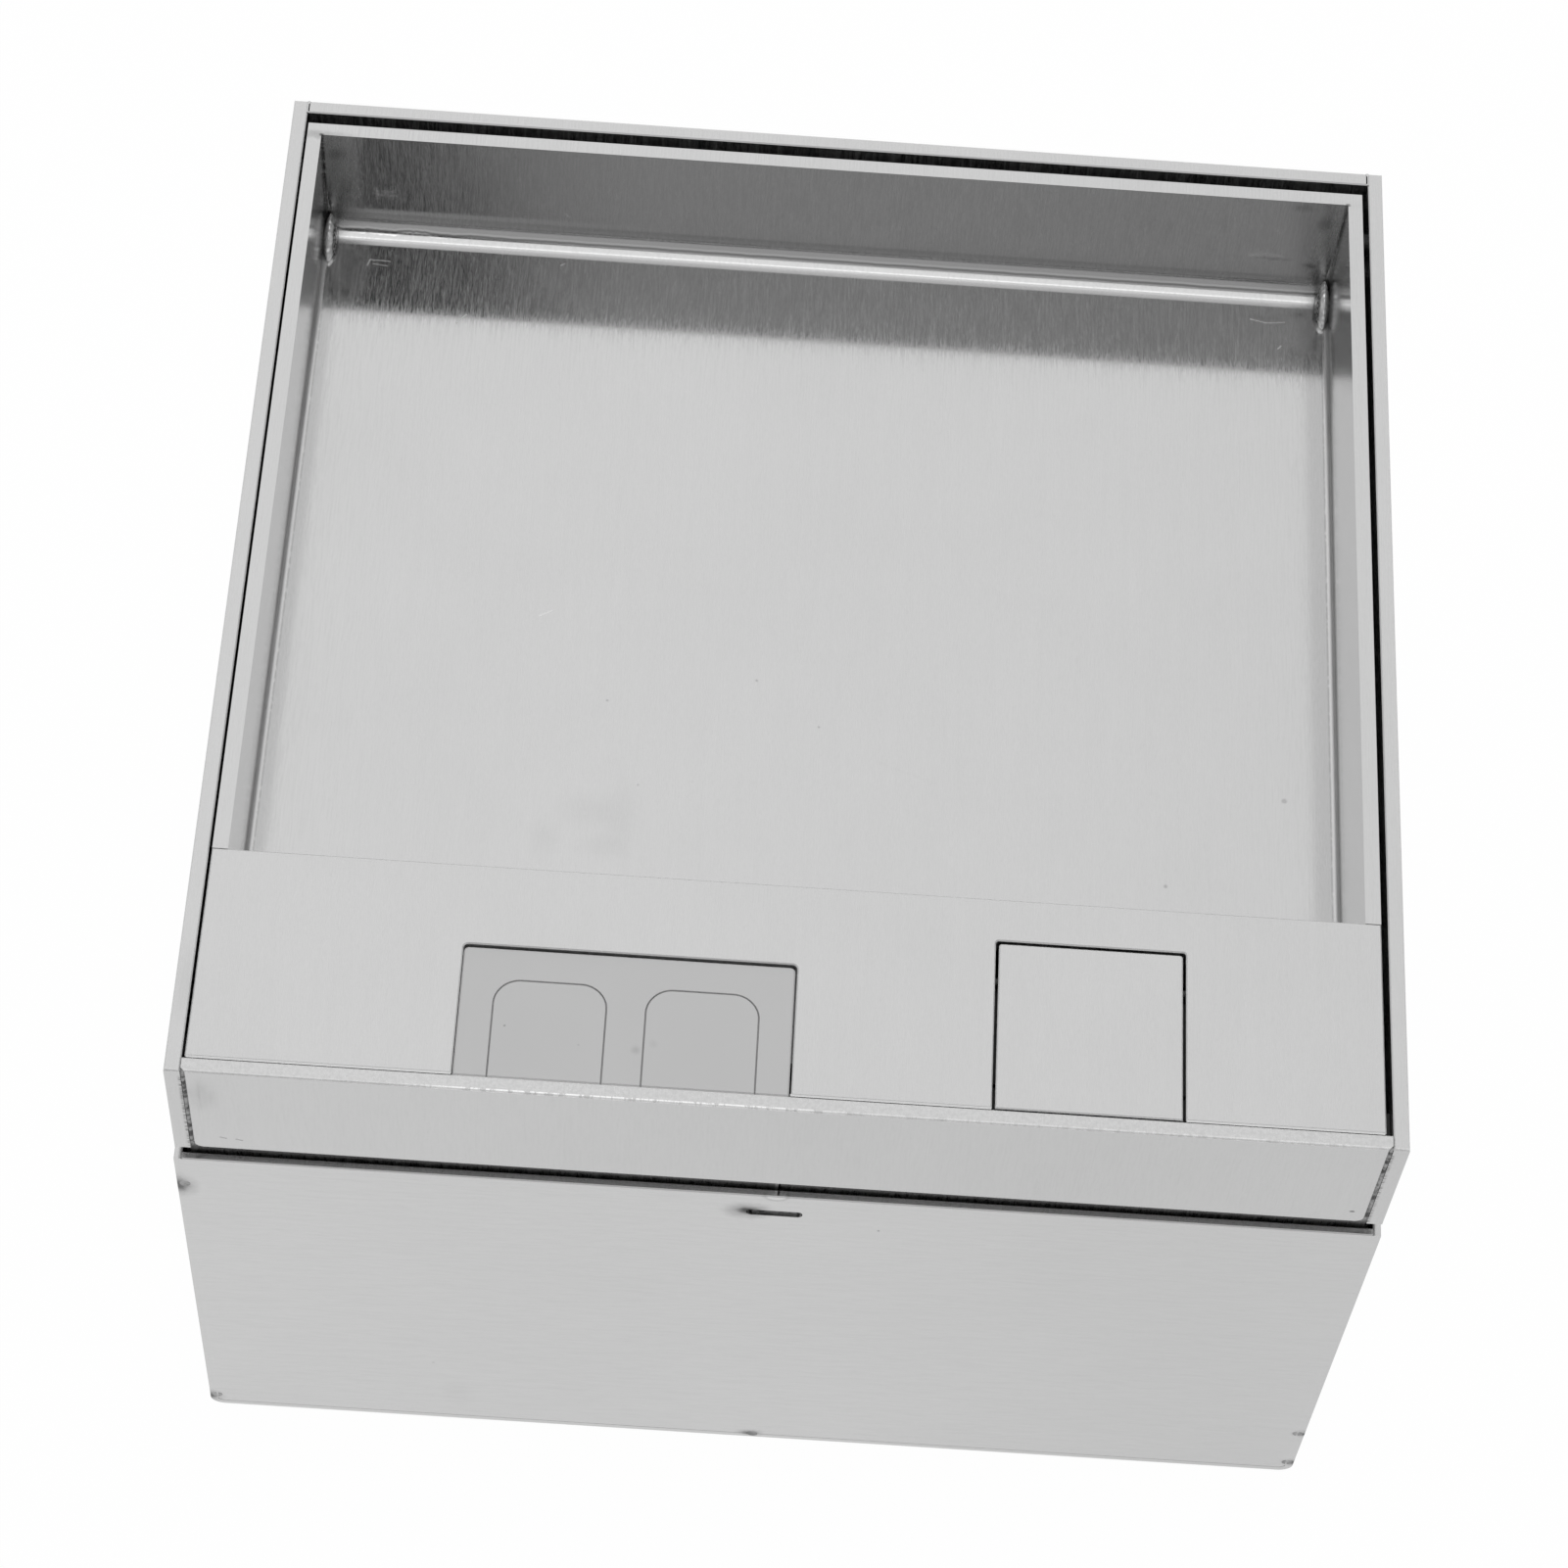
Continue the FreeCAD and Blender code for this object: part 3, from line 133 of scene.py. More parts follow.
class Paint:
    """One material and the nodes in it."""

    store = "materials"
    coordinates = "Object"
    ending = "OutputMaterial"

    def __init__(self, name):
        self.material = getattr(bpy.data, self.store).new(name)
        self.material.use_nodes = True
        self.tree = self.material.node_tree
        self.tree.nodes.clear()
        self.place = self.node("TexCoord", output=self.coordinates)

    def node(self, kind, settings=None, inputs=None, output=0):
        """Adds a node, gives it its settings, then its values and links, and returns one of its outputs."""
        node = self.tree.nodes.new("ShaderNode" + kind)
        for key, setting in (settings or {}).items():
            setattr(node, key, setting)
        for key, item in (inputs or {}).items():
            if isinstance(item, Flow):
                self.tree.links.new(item.socket, node.inputs[key])
            else:
                node.inputs[key].default_value = item
        return Flow(self, node.outputs[output])

    def parts(self, vector):
        return [self.node("SeparateXYZ", inputs={0: vector}, output=index) for index in range(3)]

    def vector(self, operation, *items, output=0):
        return self.node("VectorMath", {"operation": operation}, dict(enumerate(items)), output)

    def scaled(self, vector, factor):
        return self.node("VectorMath", {"operation": "SCALE"}, {0: vector, "Scale": factor})

    def mixed(self, factor, first, second):
        """Two colours mixed."""
        inputs = {0: factor, 6: first, 7: second}
        return self.node("Mix", {"data_type": "RGBA"}, inputs, 2)

    def noise(self, vector, scale=1.0, detail=2.0, rough=0.5):
        inputs = {"Vector": vector, "Scale": scale, "Detail": detail, "Roughness": rough}
        return self.node("TexNoise", inputs=inputs)

    def ragged(self, reach, scale):
        """The place on the object, pushed about by up to a reach, so that marks get uneven outlines."""
        push = self.node("TexNoise", inputs={"Vector": self.place, "Scale": scale, "Detail": 3.0}, output=1)
        centred = self.vector("SUBTRACT", push, (0.5,) * 3)
        return self.vector("ADD", self.place, self.scaled(centred, 2 * reach))

    def spot(self, where, centre, radius, soft=0.35):
        """1 round a centre, fading to 0 at a radius. The radius may differ along x, y and z."""
        offset = self.vector("SUBTRACT", where, tuple(centre))
        radii = radius if isinstance(radius, tuple) else (radius,) * 3
        length = self.vector("LENGTH", self.vector("DIVIDE", offset, radii), output=1)
        return length.ramp(soft, 1.0, 1.0, 0.0)

    def bump(self, height, distance):
        return self.node("Bump", inputs={"Height": height, "Distance": distance})

    def surface(self, **inputs):
        """A Principled surface on the material's output. Underscores stand for spaces in socket names."""
        named = {key.replace("_", " "): item for key, item in inputs.items()}
        return self.output(self.node("BsdfPrincipled", inputs=named))

    def output(self, shader):
        target = self.tree.nodes.new("ShaderNode" + self.ending)
        self.tree.links.new(shader.socket, target.inputs["Surface"])
        return self.material


class Surroundings(Paint):
    """The light from all round, whose coordinates are directions."""

    store = "worlds"
    coordinates = "Generated"
    ending = "OutputWorld"


def grey(level):
    return (level, level, level, 1.0)


# ---------------------------------------------------------------- modelling


def alone(thing):
    bpy.ops.object.select_all(action="DESELECT")
    thing.select_set(True)
    bpy.context.view_layer.objects.active = thing


def place_in_mesh(thing):
    alone(thing)
    bpy.ops.object.transform_apply(location=True, rotation=True, scale=True)


def add_block(name, low, high):
    """A block between two corners, to be shaped further."""
    low, high = Vector(low), Vector(high)
    bpy.ops.object.select_all(action="DESELECT")
    bpy.ops.mesh.primitive_cube_add(size=1.0, location=(low + high) / 2)
    block = bpy.context.object
    block.name = name
    block.scale = high - low
    place_in_mesh(block)
    return block


def round_edges(thing, width, segments, chosen):
    """Rounds the edges whose two ends pass a test."""
    alone(thing)
    bpy.context.tool_settings.mesh_select_mode = (False, True, False)
    mesh = thing.data
    for part in (*mesh.polygons, *mesh.vertices):
        part.select = False
    for edge in mesh.edges:
        edge.select = all(chosen(mesh.vertices[index].co) for index in edge.vertices)
    bpy.ops.object.mode_set(mode="EDIT")
    bpy.ops.mesh.bevel(offset=width, segments=segments, affect="EDGES")
    bpy.ops.object.mode_set(mode="OBJECT")


def combine(thing, tool, operation="DIFFERENCE"):
    """Cuts a tool piece from a piece, or adds it, and removes the tool piece."""
    alone(thing)
    modifier = thing.modifiers.new("combine", "BOOLEAN")
    modifier.operation = operation
    modifier.object = tool
    bpy.ops.object.modifier_apply(modifier=modifier.name)
    bpy.data.objects.remove(tool)


def finished(thing, name, body, material, angle=180):
    """Smooths a piece, puts its place into its mesh and hands it to the frame."""
    place_in_mesh(thing)
    bpy.ops.object.shade_smooth_by_angle(angle=math.radians(angle))
    thing.name = name
    thing.data.materials.clear()
    thing.data.materials.append(material)
    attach(thing, body)
    return thing


def close(first, second):
    return abs(first - second) < HAIR


# ---------------------------------------------------------------- brushed steel


def grain_place(paint, across, along, level, upright):
    """Coordinates drawn out along the grain, which may run another way on front and back faces."""
    scales = [tuple(along if letter == grain else across for letter in "xyz") for grain in (level, upright)]
    drawn = [paint.vector("MULTIPLY", paint.place, scale) for scale in scales]
    if level == upright:
        return drawn[0]
    _, front, _ = paint.parts(paint.node("TexCoord", output="Normal"))
    inputs = {0: abs(front) > 0.7, 4: drawn[0], 5: drawn[1]}
    return paint.node("Mix", {"data_type": "VECTOR"}, inputs, 1)


class Steel(Paint):
    """Brushed stainless sheet. Marks are added to its shade and roughness before it is finished."""

    def __init__(self, name, tone, rough, grain=("y", "z")):
        super().__init__(name)
        self.tone = tone
        level, upright = grain
        fine = self.noise(grain_place(self, 5200.0, 650.0, level, upright), detail=2.0, rough=0.65)
        lines = self.noise(grain_place(self, 2400.0, 130.0, level, upright), detail=3.0, rough=0.62)
        wide = self.noise(grain_place(self, 520.0, 34.0, level, upright), detail=2.0)
        cloud = self.noise(self.place, 16.0, detail=4.0, rough=0.6)
        hand = self.noise(self.place, 60.0, detail=5.0, rough=0.7)
        self.where = self.ragged(0.9 * MM, 500.0)
        self.shade = (
            1.0
            + (fine - 0.5) * 0.13
            + (lines - 0.5) * 0.11
            + (wide - 0.5) * 0.03
            + (cloud - 0.5) * 0.06
            + (hand - 0.5) * 0.03
        )
        self.rough = rough + (lines - 0.5) * 0.17 + (fine - 0.5) * 0.3 + (hand - 0.5) * 0.05
        self.metal = 1.0 - lines.ramp(0.38, 0.72) * 0.13 - fine.ramp(0.45, 0.7) * 0.05
        self.height = fine * 0.5 + lines * 0.5

    def mark(self, mask, shade=0.0, rough=0.0):
        """Changes the shade and roughness where a mask is 1."""
        self.shade = self.shade + mask * shade
        self.rough = self.rough + mask * rough

    def patch(self, centre, radius, shade, rough=0.0, soft=0.1, crisp=False):
        """A mark round a place, with a ragged outline or a nearly clean one."""
        where = self.where_close() if crisp else self.where
        self.mark(self.spot(where, centre, radius, soft), shade, rough)

    def drawn_noise(self, scales, detail=2.0, rough=0.5):
        """Noise with a scale of its own along x, y and z."""
        return self.noise(self.vector("MULTIPLY", self.place, scales), detail=detail, rough=rough)

    def dull_and_lighten_edges(self):
        """Broken edges are rubbed dull, so they don't mirror the room as the faces do, and lightened: painted
        light in place of the light they would catch.
        """
        _, _, up = self.parts(self.node("TexCoord", output="Normal"))
        self.mark((up > 0.55) * (up < 0.85), shade=0.35, rough=0.42)

    def dots(self, scale, share, size, shade):
        """Tiny pits and specks, a few in each area."""
        cells = {"Vector": self.place, "Scale": scale}
        distance = self.node("TexVoronoi", inputs=cells)
        chance = self.node("SeparateXYZ", inputs={0: self.node("TexVoronoi", inputs=cells, output=1)})
        self.mark(distance.ramp(size * 0.5, size, 1.0, 0.0) * (chance < share), shade, 0.15)

    def scratches(self, turn, scale, share, shade):
        """Hairline scratches in one direction, broken up and far apart."""
        turned = self.node("Mapping", inputs={"Vector": self.place, "Rotation": (0.0, 0.0, turn)})
        drawn = self.vector("MULTIPLY", turned, (scale, scale * 0.04, scale))
        cells = {"Vector": drawn, "Scale": 1.0}
        distance = self.node("TexVoronoi", inputs=cells)
        chance = self.node("SeparateXYZ", inputs={0: self.node("TexVoronoi", inputs=cells, output=1)})
        self.mark(distance.ramp(0.02, 0.05, 1.0, 0.0) * (chance < share), shade, 0.05)

    def stroke(self, start, end, width, shade, rough=0.1):
        """One short scratch between two places."""
        start, end = Vector(start), Vector(end)
        along = (end - start).normalized()
        offset = self.vector("SUBTRACT", self.where_close(), tuple(start))
        run = self.vector("DOT_PRODUCT", offset, tuple(along), output=1)
        aside = self.vector("LENGTH", self.vector("CROSS_PRODUCT", offset, tuple(along)), output=1)
        mask = aside.ramp(width * 0.4, width, 1.0, 0.0) * (run > 0.0) * (run < (end - start).length)
        self.mark(mask, shade, rough)

    def where_close(self):
        """The place, only slightly ragged, made once and shared by the strokes."""
        if not hasattr(self, "slightly_ragged"):
            self.slightly_ragged = self.ragged(0.12 * MM, 1500.0)
        return self.slightly_ragged

    def finish(self, depth=5e-6):
        shade = self.node("Clamp", inputs={"Value": self.shade, "Min": 0.05, "Max": 1.6})
        rough = self.node("Clamp", inputs={"Value": self.rough, "Min": 0.06, "Max": 0.8})
        metal = self.node("Clamp", inputs={"Value": self.metal, "Min": 0.0, "Max": 1.0})
        colour = self.scaled((self.tone,) * 3, shade)
        relief = self.bump(self.height, depth)
        return self.surface(Base_Color=colour, Metallic=metal, Roughness=rough, Normal=relief)


def dress(material, *nodes):
    for node in nodes:
        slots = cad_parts[node].data.materials
        slots.clear()
        slots.append(material)


def frame_steel(look):
    """The frame's plates: worn top edges lightened with painted light, brushed upright on the front, a
    painted highlight along the bar's outer edge and painted shade on its front, with smudges beside the
    welds.
    """
    steel = Steel("steel_frame", look.top_tone, look.top_rough)
    x, y, z = steel.parts(steel.place)
    steel.dull_and_lighten_edges()

    # The bar's top is mottled, and a broken painted highlight runs along its outer edge, where a burr would
    # glint.
    top_face = z > BAR_HIGH.z - 0.3 * MM
    on_bar = top_face * (y < BAR_LOW.y + PLATE) * (abs(x) < BAR_HIGH.x)
    mottle = steel.noise(steel.place, 1300.0, detail=3.0, rough=0.7)
    steel.mark(on_bar * mottle.ramp(0.4, 0.62), shade=0.05, rough=0.1)
    steel.mark(on_bar * mottle.ramp(0.4, 0.55, 1.0, 0.0), shade=-0.03, rough=0.05)
    edge = top_face * (y < BAR_LOW.y + 0.55 * MM)
    broken = steel.drawn_noise((900.0, 300.0, 300.0), detail=3.0, rough=0.7)
    strong = x.ramp(-75 * MM, -55 * MM) * x.ramp(-6 * MM, 14 * MM, 1.0, 0.2)
    steel.mark(edge * broken.ramp(0.4, 0.52) * (0.1 + strong), shade=0.5, rough=0.12)

    # The bar's front is darkened with painted shade, a little more to the right, and has a rubbed patch near
    # its left end.
    face = (y < BAR_LOW.y + 0.05 * MM) * (z < BAR_HIGH.z - EDGE_BREAK - HAIR)
    steel.mark(face, shade=-0.05)
    steel.mark(face * x.ramp(-0.1, 0.12), shade=-0.06)
    middle = (BAR_LOW.x + 3.5 * MM, BAR_LOW.y, BAR_HIGH.z - 9 * MM)
    rubbed = steel.spot(steel.where, middle, in_mm(4, 9, 9), 0.0)
    strokes = steel.drawn_noise((900.0, 900.0, 90.0))
    steel.mark(face * rubbed * strokes.ramp(0.3, 0.7, 0.4, 1.0), shade=-0.2)

    # Its end seams are burnt, in teeth, up to 2 mm below the top.
    seam = abs(x) - abs(BAR_LOW.x)
    _, _, rough_z = steel.parts(steel.ragged(0.35 * MM, 2600.0))
    teeth = steel.drawn_noise((200.0, 200.0, 2600.0), rough=0.7).ramp(0.42, 0.56)
    span = (rough_z < BAR_HIGH.z - 2 * MM) * (z > BAR_LOW.z + 0.7 * MM)
    steel.mark(face * seam.near(-0.1 * MM, 0.95 * MM) * teeth * span, shade=-0.5, rough=0.2)

    # Two short strokes and a pit low on the face, and a dull patch on the left plate's top.
    half_long, half_rise = 0.7 * MM, 0.25 * MM
    for side, drop in ((6.4, 26.4), (9.4, 26.9)):
        left, height = BAR_LOW.x + side * MM, BAR_HIGH.z - drop * MM
        start = (left - half_long, BAR_LOW.y, height + half_rise)
        steel.stroke(start, (left + half_long, BAR_LOW.y, height - half_rise), 0.3 * MM, -0.32)
    pit = (BAR_HIGH.x - 3.4 * MM, BAR_LOW.y, BAR_HIGH.z - 26.7 * MM)
    steel.patch(pit, in_mm(0.7, 1, 0.45), -0.7, soft=0.35, crisp=True)
    steel.patch((BAR_LOW.x - 1 * MM, BAR_LOW.y + 19 * MM, BAR_HIGH.z), in_mm(3, 12, 2), -0.06)
    steel.dots(150.0, 0.06, 0.03, -0.25)
    return steel.finish()


def cover_steel(look):
    """The cover plate and the flap, with a few specks and hairline scratches."""
    steel = Steel("steel_cover", look.top_tone, look.top_rough)
    steel.dull_and_lighten_edges()
    steel.dots(110.0, 0.05, 0.025, -0.2)
    steel.scratches(0.9, 60.0, 0.05, 0.06)
    return steel.finish()


def mark_pan_folds(steel):
    """Painted highlights and shade along the back fold, dull side folds, dark grainy lines along the side
    folds and in the corner seams, and heat tint with painted shade in the back corners.
    """
    x, y, z = steel.parts(steel.place)
    wave = steel.drawn_noise((140.0, 0.0, 0.0), detail=4.0, rough=0.6)
    in_fold = (y > PAN_BACK - PAN_FOLD) * (z < PAN_FLOOR + PAN_FOLD)
    level = z - PAN_FLOOR + (wave - 0.5) * (0.35 + x.ramp(-0.1, -0.06, 1.4, 0.0)) * MM
    # Painted shade and painted highlights along the back fold: a dark and a light wavy line and a darker band
    # above them, standing in for the fold's reflections.
    for height, half, shade in ((1.3, 0.2, -0.4), (1.65, 0.2, 0.2), (3.9, 1.4, -0.2)):
        steel.mark(in_fold * level.near(height * MM, half * MM), shade=shade)
    # A painted highlight along the fold near the pan's left end.
    crest = x.ramp(-0.104, -0.1) * x.ramp(-0.088, -0.08, 1.0, 0.0)
    steel.mark(in_fold * crest * level.near(1.0 * MM, 0.25 * MM), shade=0.5)

    grit = steel.noise(steel.place, 900.0, detail=3.0).ramp(0.3, 0.5)
    on_floor = z < PAN_FLOOR + 0.1 * MM
    for side in (PAN_WEST, PAN_EAST):
        from_side = abs(x - side)
        fold = from_side.ramp(0.5 * MM, 1.3 * MM, 1.0, 0.0) * (z < PAN_FLOOR + 1.3 * MM)
        steel.mark(fold, rough=0.3)
        steel.mark(from_side.near(SIDE_FOLD, 0.3 * MM) * on_floor * grit, shade=-0.18)
        from_back = abs(y - PAN_BACK).ramp(0.2 * MM, 0.5 * MM, 1.0, 0.0)
        steel.mark(from_back * from_side.ramp(0.2 * MM, 0.7 * MM, 1.0, 0.0) * grit, shade=-0.5)
        # Round each nugget, heat tint deepened with painted shade.
        corner = (side, PAN_BACK - 4 * MM, PAN_FLOOR + 2 * MM)
        steel.patch(corner, in_mm(6, 9, 6), -0.28, 0.1, soft=0.3)
    # Painted shade on the back wall beside each side wall, darkening what it mirrors there.
    steel.patch((PAN_WEST, PAN_BACK, PAN_FLOOR + 16 * MM), in_mm(12, 2, 24), -0.4, 0.16, soft=0.3)
    steel.patch((PAN_EAST, PAN_BACK, PAN_FLOOR + 12 * MM), in_mm(9, 2, 24), -0.14, 0.16, soft=0.3)


def mark_pan_stains(steel):
    """Heat stains on the back wall, and smears of cleaning and small specks on the floor."""
    # x and z of each stain in millimetres, its reach along both, and its shade.
    stains = (
        (103.6, 146.3, 2.8, 3.4, -0.3),
        (102.7, 131.7, 2.2, 1.4, -0.4),
        (98.3, 151.0, 3.2, 1.6, -0.25),
        (95.0, 133.3, 7.0, 0.7, -0.2),
        (-105.4, 147.0, 3.0, 2.6, -0.2),
        (-104.0, 135.0, 3.0, 6.0, -0.15),
    )
    for x, z, wide, tall, shade in stains:
        steel.patch((x * MM, PAN_BACK, z * MM), in_mm(wide, 3, tall), shade)

    # x and y of each smear, and its reach along both.
    smears = ((-50.5, -43, 5, 7), (-36, -37, 6, 11), (-43, -36, 9, 6), (-39, -44, 8, 4), (71, 91, 5, 4))
    for x, y, wide, deep in smears:
        steel.patch((x * MM, y * MM, PAN_FLOOR), in_mm(wide, deep, 3), -0.045, soft=0.0)

    # x and y of each speck, and its radius.
    specks = (
        (97.1, -23.1, 0.8),
        (73.2, -44.7, 0.6),
        (-40.1, -9.9, 0.4),
        (-10.2, -2.8, 0.4),
        (2.9, -12.9, 0.35),
    )
    for x, y, radius in specks:
        steel.patch((x * MM, y * MM, PAN_FLOOR), radius * MM, -0.25, soft=0.35, crisp=True)


def mark_pan_scratches(steel):
    """Short bright scratches on the floor: the ends of each, in millimetres, and its shade."""
    scratches = (
        ((-98.8, 95.8), (-98.4, 97.4), 0.32),
        ((-98.4, 97.4), (-94.0, 97.3), 0.32),
        ((-97.6, 96.4), (-94.5, 96.0), 0.2),
        ((91.0, 97.6), (94.6, 96.8), 0.4),
        ((94.6, 96.8), (98.6, 97.3), 0.32),
        ((97.0, 90.0), (97.8, 91.0), 0.4),
        ((-55.4, 9.3), (-52.7, 10.9), 0.16),
        ((-57.6, 99.2), (-56.6, 100.0), 0.3),
        ((-78.4, 82.0), (-76.6, 84.6), 0.2),
    )
    for start, end, shade in scratches:
        steel.stroke((*in_mm(*start), PAN_FLOOR), (*in_mm(*end), PAN_FLOOR), 0.22 * MM, shade, 0.2)


def pan_steel(look):
    """The pan: painted highlights and shade along its folds and in its back corners, stained by its welds,
    smeared and scratched on its floor.
    """
    steel = Steel("steel_tray", look.top_tone, look.top_rough)
    mark_pan_folds(steel)
    mark_pan_stains(steel)
    mark_pan_scratches(steel)
    steel.dots(90.0, 0.07, 0.03, -0.16)
    steel.scratches(0.5, 45.0, 0.05, 0.06)
    steel.scratches(1.9, 70.0, 0.04, -0.06)
    return steel.finish()


def panel_steel(look):
    """The lower box: brushed from side to side, with heat marks at the tacks and at the slot."""
    steel = Steel("steel_panel", look.box_tone, look.box_rough, grain=("y", "x"))
    x, y, _ = steel.parts(steel.place)
    steel.dull_and_lighten_edges()
    # Painted shade: the front face darker towards the right.
    steel.mark((y < 0.0) * x.ramp(-0.02, 0.12), shade=-0.07)

    # Where each tack is along x, its height in millimetres, and the reach of its heat mark across and up.
    tacks = (
        (BOX_LOW.x, 106.0, 5.0, 6.6),
        (BOX_LOW.x, 3.6, 3.8, 4.2),
        (BOX_HIGH.x, 20.1, 3.6, 2.4),
        (BOX_HIGH.x, 4.4, 3.6, 2.4),
        (-0.8 * MM, 2.0, 3.6, 2.2),
    )
    for place, height, wide, tall in tacks:
        for share, shade in ((1.0, -0.36), (0.6, -0.42)):
            reach = in_mm(wide * share, 9, tall * share)
            steel.patch((place, BOX_LOW.y, height * MM), reach, shade, 0.1)
    slot_left = (-5.6 * MM, BOX_LOW.y, SLOT_HEIGHT + 0.4 * MM)
    steel.patch(slot_left, in_mm(6.4, 5, 4.4), -0.55, 0.1, soft=0.0)
    steel.patch(slot_left, in_mm(2.8, 5, 2.1), -0.4, soft=0.2)

    # A polished crescent below the collar's joint.
    polish = (-0.5 * MM, BOX_LOW.y, PANEL_HIGH.z)
    inner = steel.spot(steel.where_close(), polish, in_mm(2.4, 5, 1.7), 0.6)
    outer = steel.spot(steel.where_close(), polish, in_mm(3, 5, 2.3), 0.6)
    steel.mark(outer - inner, shade=-0.26)
    steel.mark(inner, shade=0.1, rough=-0.04)

    steel.patch((-63 * MM, BOX_LOW.y, 14 * MM), in_mm(5, 5, 9), -0.035, soft=0.0)
    for place, height, radius in ((-67.7, 28.5, 0.35), (19.9, 105.4, 0.4)):
        steel.patch((place * MM, BOX_LOW.y, height * MM), radius * MM, -0.4, soft=0.35, crisp=True)
    steel.dots(110.0, 0.05, 0.025, -0.2)
    return steel.finish()


def collar_steel():
    """The collar behind the shadow gap, with the weld of its joint bright in the middle of the front."""
    steel = Steel("steel_collar", 0.4, 0.3)
    x, _, _ = steel.parts(steel.place)
    steel.mark(abs(x - -0.3 * MM).ramp(0.35 * MM, 0.6 * MM, 1.0, 0.0), shade=1.0, rough=0.1)
    return steel.finish()


def inner_steel():
    """Mill finish sheet inside the box."""
    steel = Steel("steel_inner", 0.5, 0.3)
    steel.scratches(0.8, 60.0, 0.06, 0.08)
    return steel.finish()


def gap_shade_steel():
    """Unpolished strips under the lid's edges, made near black: painted shade, so the gaps above them look
    dark.
    """
    steel = Steel("steel_gap_shade", 0.035, 0.5)
    steel.metal = steel.metal - 0.3
    return steel.finish()


def bracket_steel():
    """Brackets whose tabs are darkened where they show in their slots: heat tint of the welds and painted
    shade of the recess.
    """
    steel = Steel("steel_bracket", 0.5, 0.34)
    x, y, _ = steel.parts(steel.place)
    reach = abs(x).higher(abs(y))
    grit = steel.noise(steel.place, 1100.0, detail=4.0, rough=0.7)
    heat_and_shade = reach.ramp(BOX_HIGH.x - 1.6 * MM, BOX_HIGH.x - 0.9 * MM)
    steel.mark(heat_and_shade * grit.ramp(0.3, 0.7, 1.0, 0.6), shade=-0.88, rough=0.3)
    return steel.finish()


class FLOORBOX_OT_steel(bpy.types.Operator):
    """Gives every sheet steel part its brushed finish"""

    bl_idname = "floorbox.steel"
    bl_label = "Brushed steel"

    def execute(self, context):
        look = context.scene.floorbox_finish
        dress(frame_steel(look), *[f"frame_plate_{side}" for side in ("left", "right", "front", "back")])
        dress(cover_steel(look), "lid_cover_plate", "lift_flap")
        dress(panel_steel(look), "box_front_panel", "box_back_panel", "box_body")
        dress(collar_steel(), "inner_collar")
        dress(bracket_steel(), "rest_brackets")
        dress(gap_shade_steel(), "front_ledge", "flap_rest_strips")
        dress(inner_steel(), "flap_stop_bracket", "carrier_rail_left", "carrier_rail_right", "carrier_plate")
        return {"FINISHED"}


# ---------------------------------------------------------------- folded pan and seam fills


def folded_sheet(front):
    """The pan with its round folds, its rebate for the cover plate and the cheeks beside that plate."""
    west, east, back, top = TRAY_LOW.x, TRAY_HIGH.x, TRAY_HIGH.y, TRAY_HIGH.z
    pan = add_block("pan", (west, front, TRAY_LOW.z), (east, back, top))
    round_edges(pan, PLATE + 2 * MM, 12, lambda end: close(end.z, TRAY_LOW.z))

    space = add_block("space", (PAN_WEST, COVER_HIGH.y, PAN_FLOOR), (PAN_EAST, PAN_BACK, top + 5 * MM))
    for wall in (COVER_HIGH.y, PAN_BACK):
        round_edges(space, PAN_FOLD, 20, lambda end: close(end.z, PAN_FLOOR) and close(end.y, wall))
    fold_top = PAN_FLOOR + PAN_FOLD + HAIR
    for wall in (PAN_WEST, PAN_EAST):
        round_edges(space, SIDE_FOLD, 6, lambda end: close(end.x, wall) and end.z < fold_top)
    combine(pan, space)

    rebate = add_block("rebate", (west - MM, front - MM, COVER_LOW.z), (east + MM, COVER_HIGH.y, top + MM))
    combine(pan, rebate)
    cheek_low = COVER_LOW.z - 12 * MM
    for low, high in ((west, PAN_WEST), (PAN_EAST, east)):
        cheek = add_block("cheek", (low, TRAY_LOW.y, cheek_low), (high, front + MM, COVER_LOW.z))
        combine(pan, cheek, "UNION")
    return pan


def break_edges(pan):
    """Takes the sharpness off the sheet's edges."""
    bevel = pan.modifiers.new("broken_edges", "BEVEL")
    bevel.width = 0.12 * MM
    bevel.segments = 2
    bevel.limit_method = "ANGLE"
    bevel.angle_limit = math.radians(60)
    alone(pan)
    bpy.ops.object.modifier_apply(modifier=bevel.name)


def cut_seam(pan, side):
    """Cuts the open seam between the back wall and a side wall."""
    half = 0.13 * MM
    low = (side - half, PAN_BACK - 0.3 * MM, PAN_FLOOR + 4 * MM)
    high = (side + half, PAN_BACK + 0.9 * MM, TRAY_HIGH.z - 0.5 * MM)
    combine(pan, add_block("seam", low, high))


def bore_for_pin(pan, side):
    """Bores a side wall for its hinge pin."""
    axle = (PIN_LOW + PIN_HIGH) / 2
    radius = (PIN_HIGH.z - PIN_LOW.z) / 2 + 0.06 * MM
    bpy.ops.object.select_all(action="DESELECT")
    bpy.ops.mesh.primitive_cylinder_add(
        vertices=64,
        radius=radius,
        depth=4.8 * MM,
        location=(side, axle.y, axle.z),
        rotation=(0, math.pi / 2, 0),
    )
    combine(pan, bpy.context.object)


def keep_walls_flat(pan):
    """Shades the flat walls as flat, and leaves the turning of the light to the folds."""
    even = pan.modifiers.new("flat_walls", "WEIGHTED_NORMAL")
    even.keep_sharp = True
    even.weight = 100
    alone(pan)
    bpy.ops.object.modifier_apply(modifier=even.name)


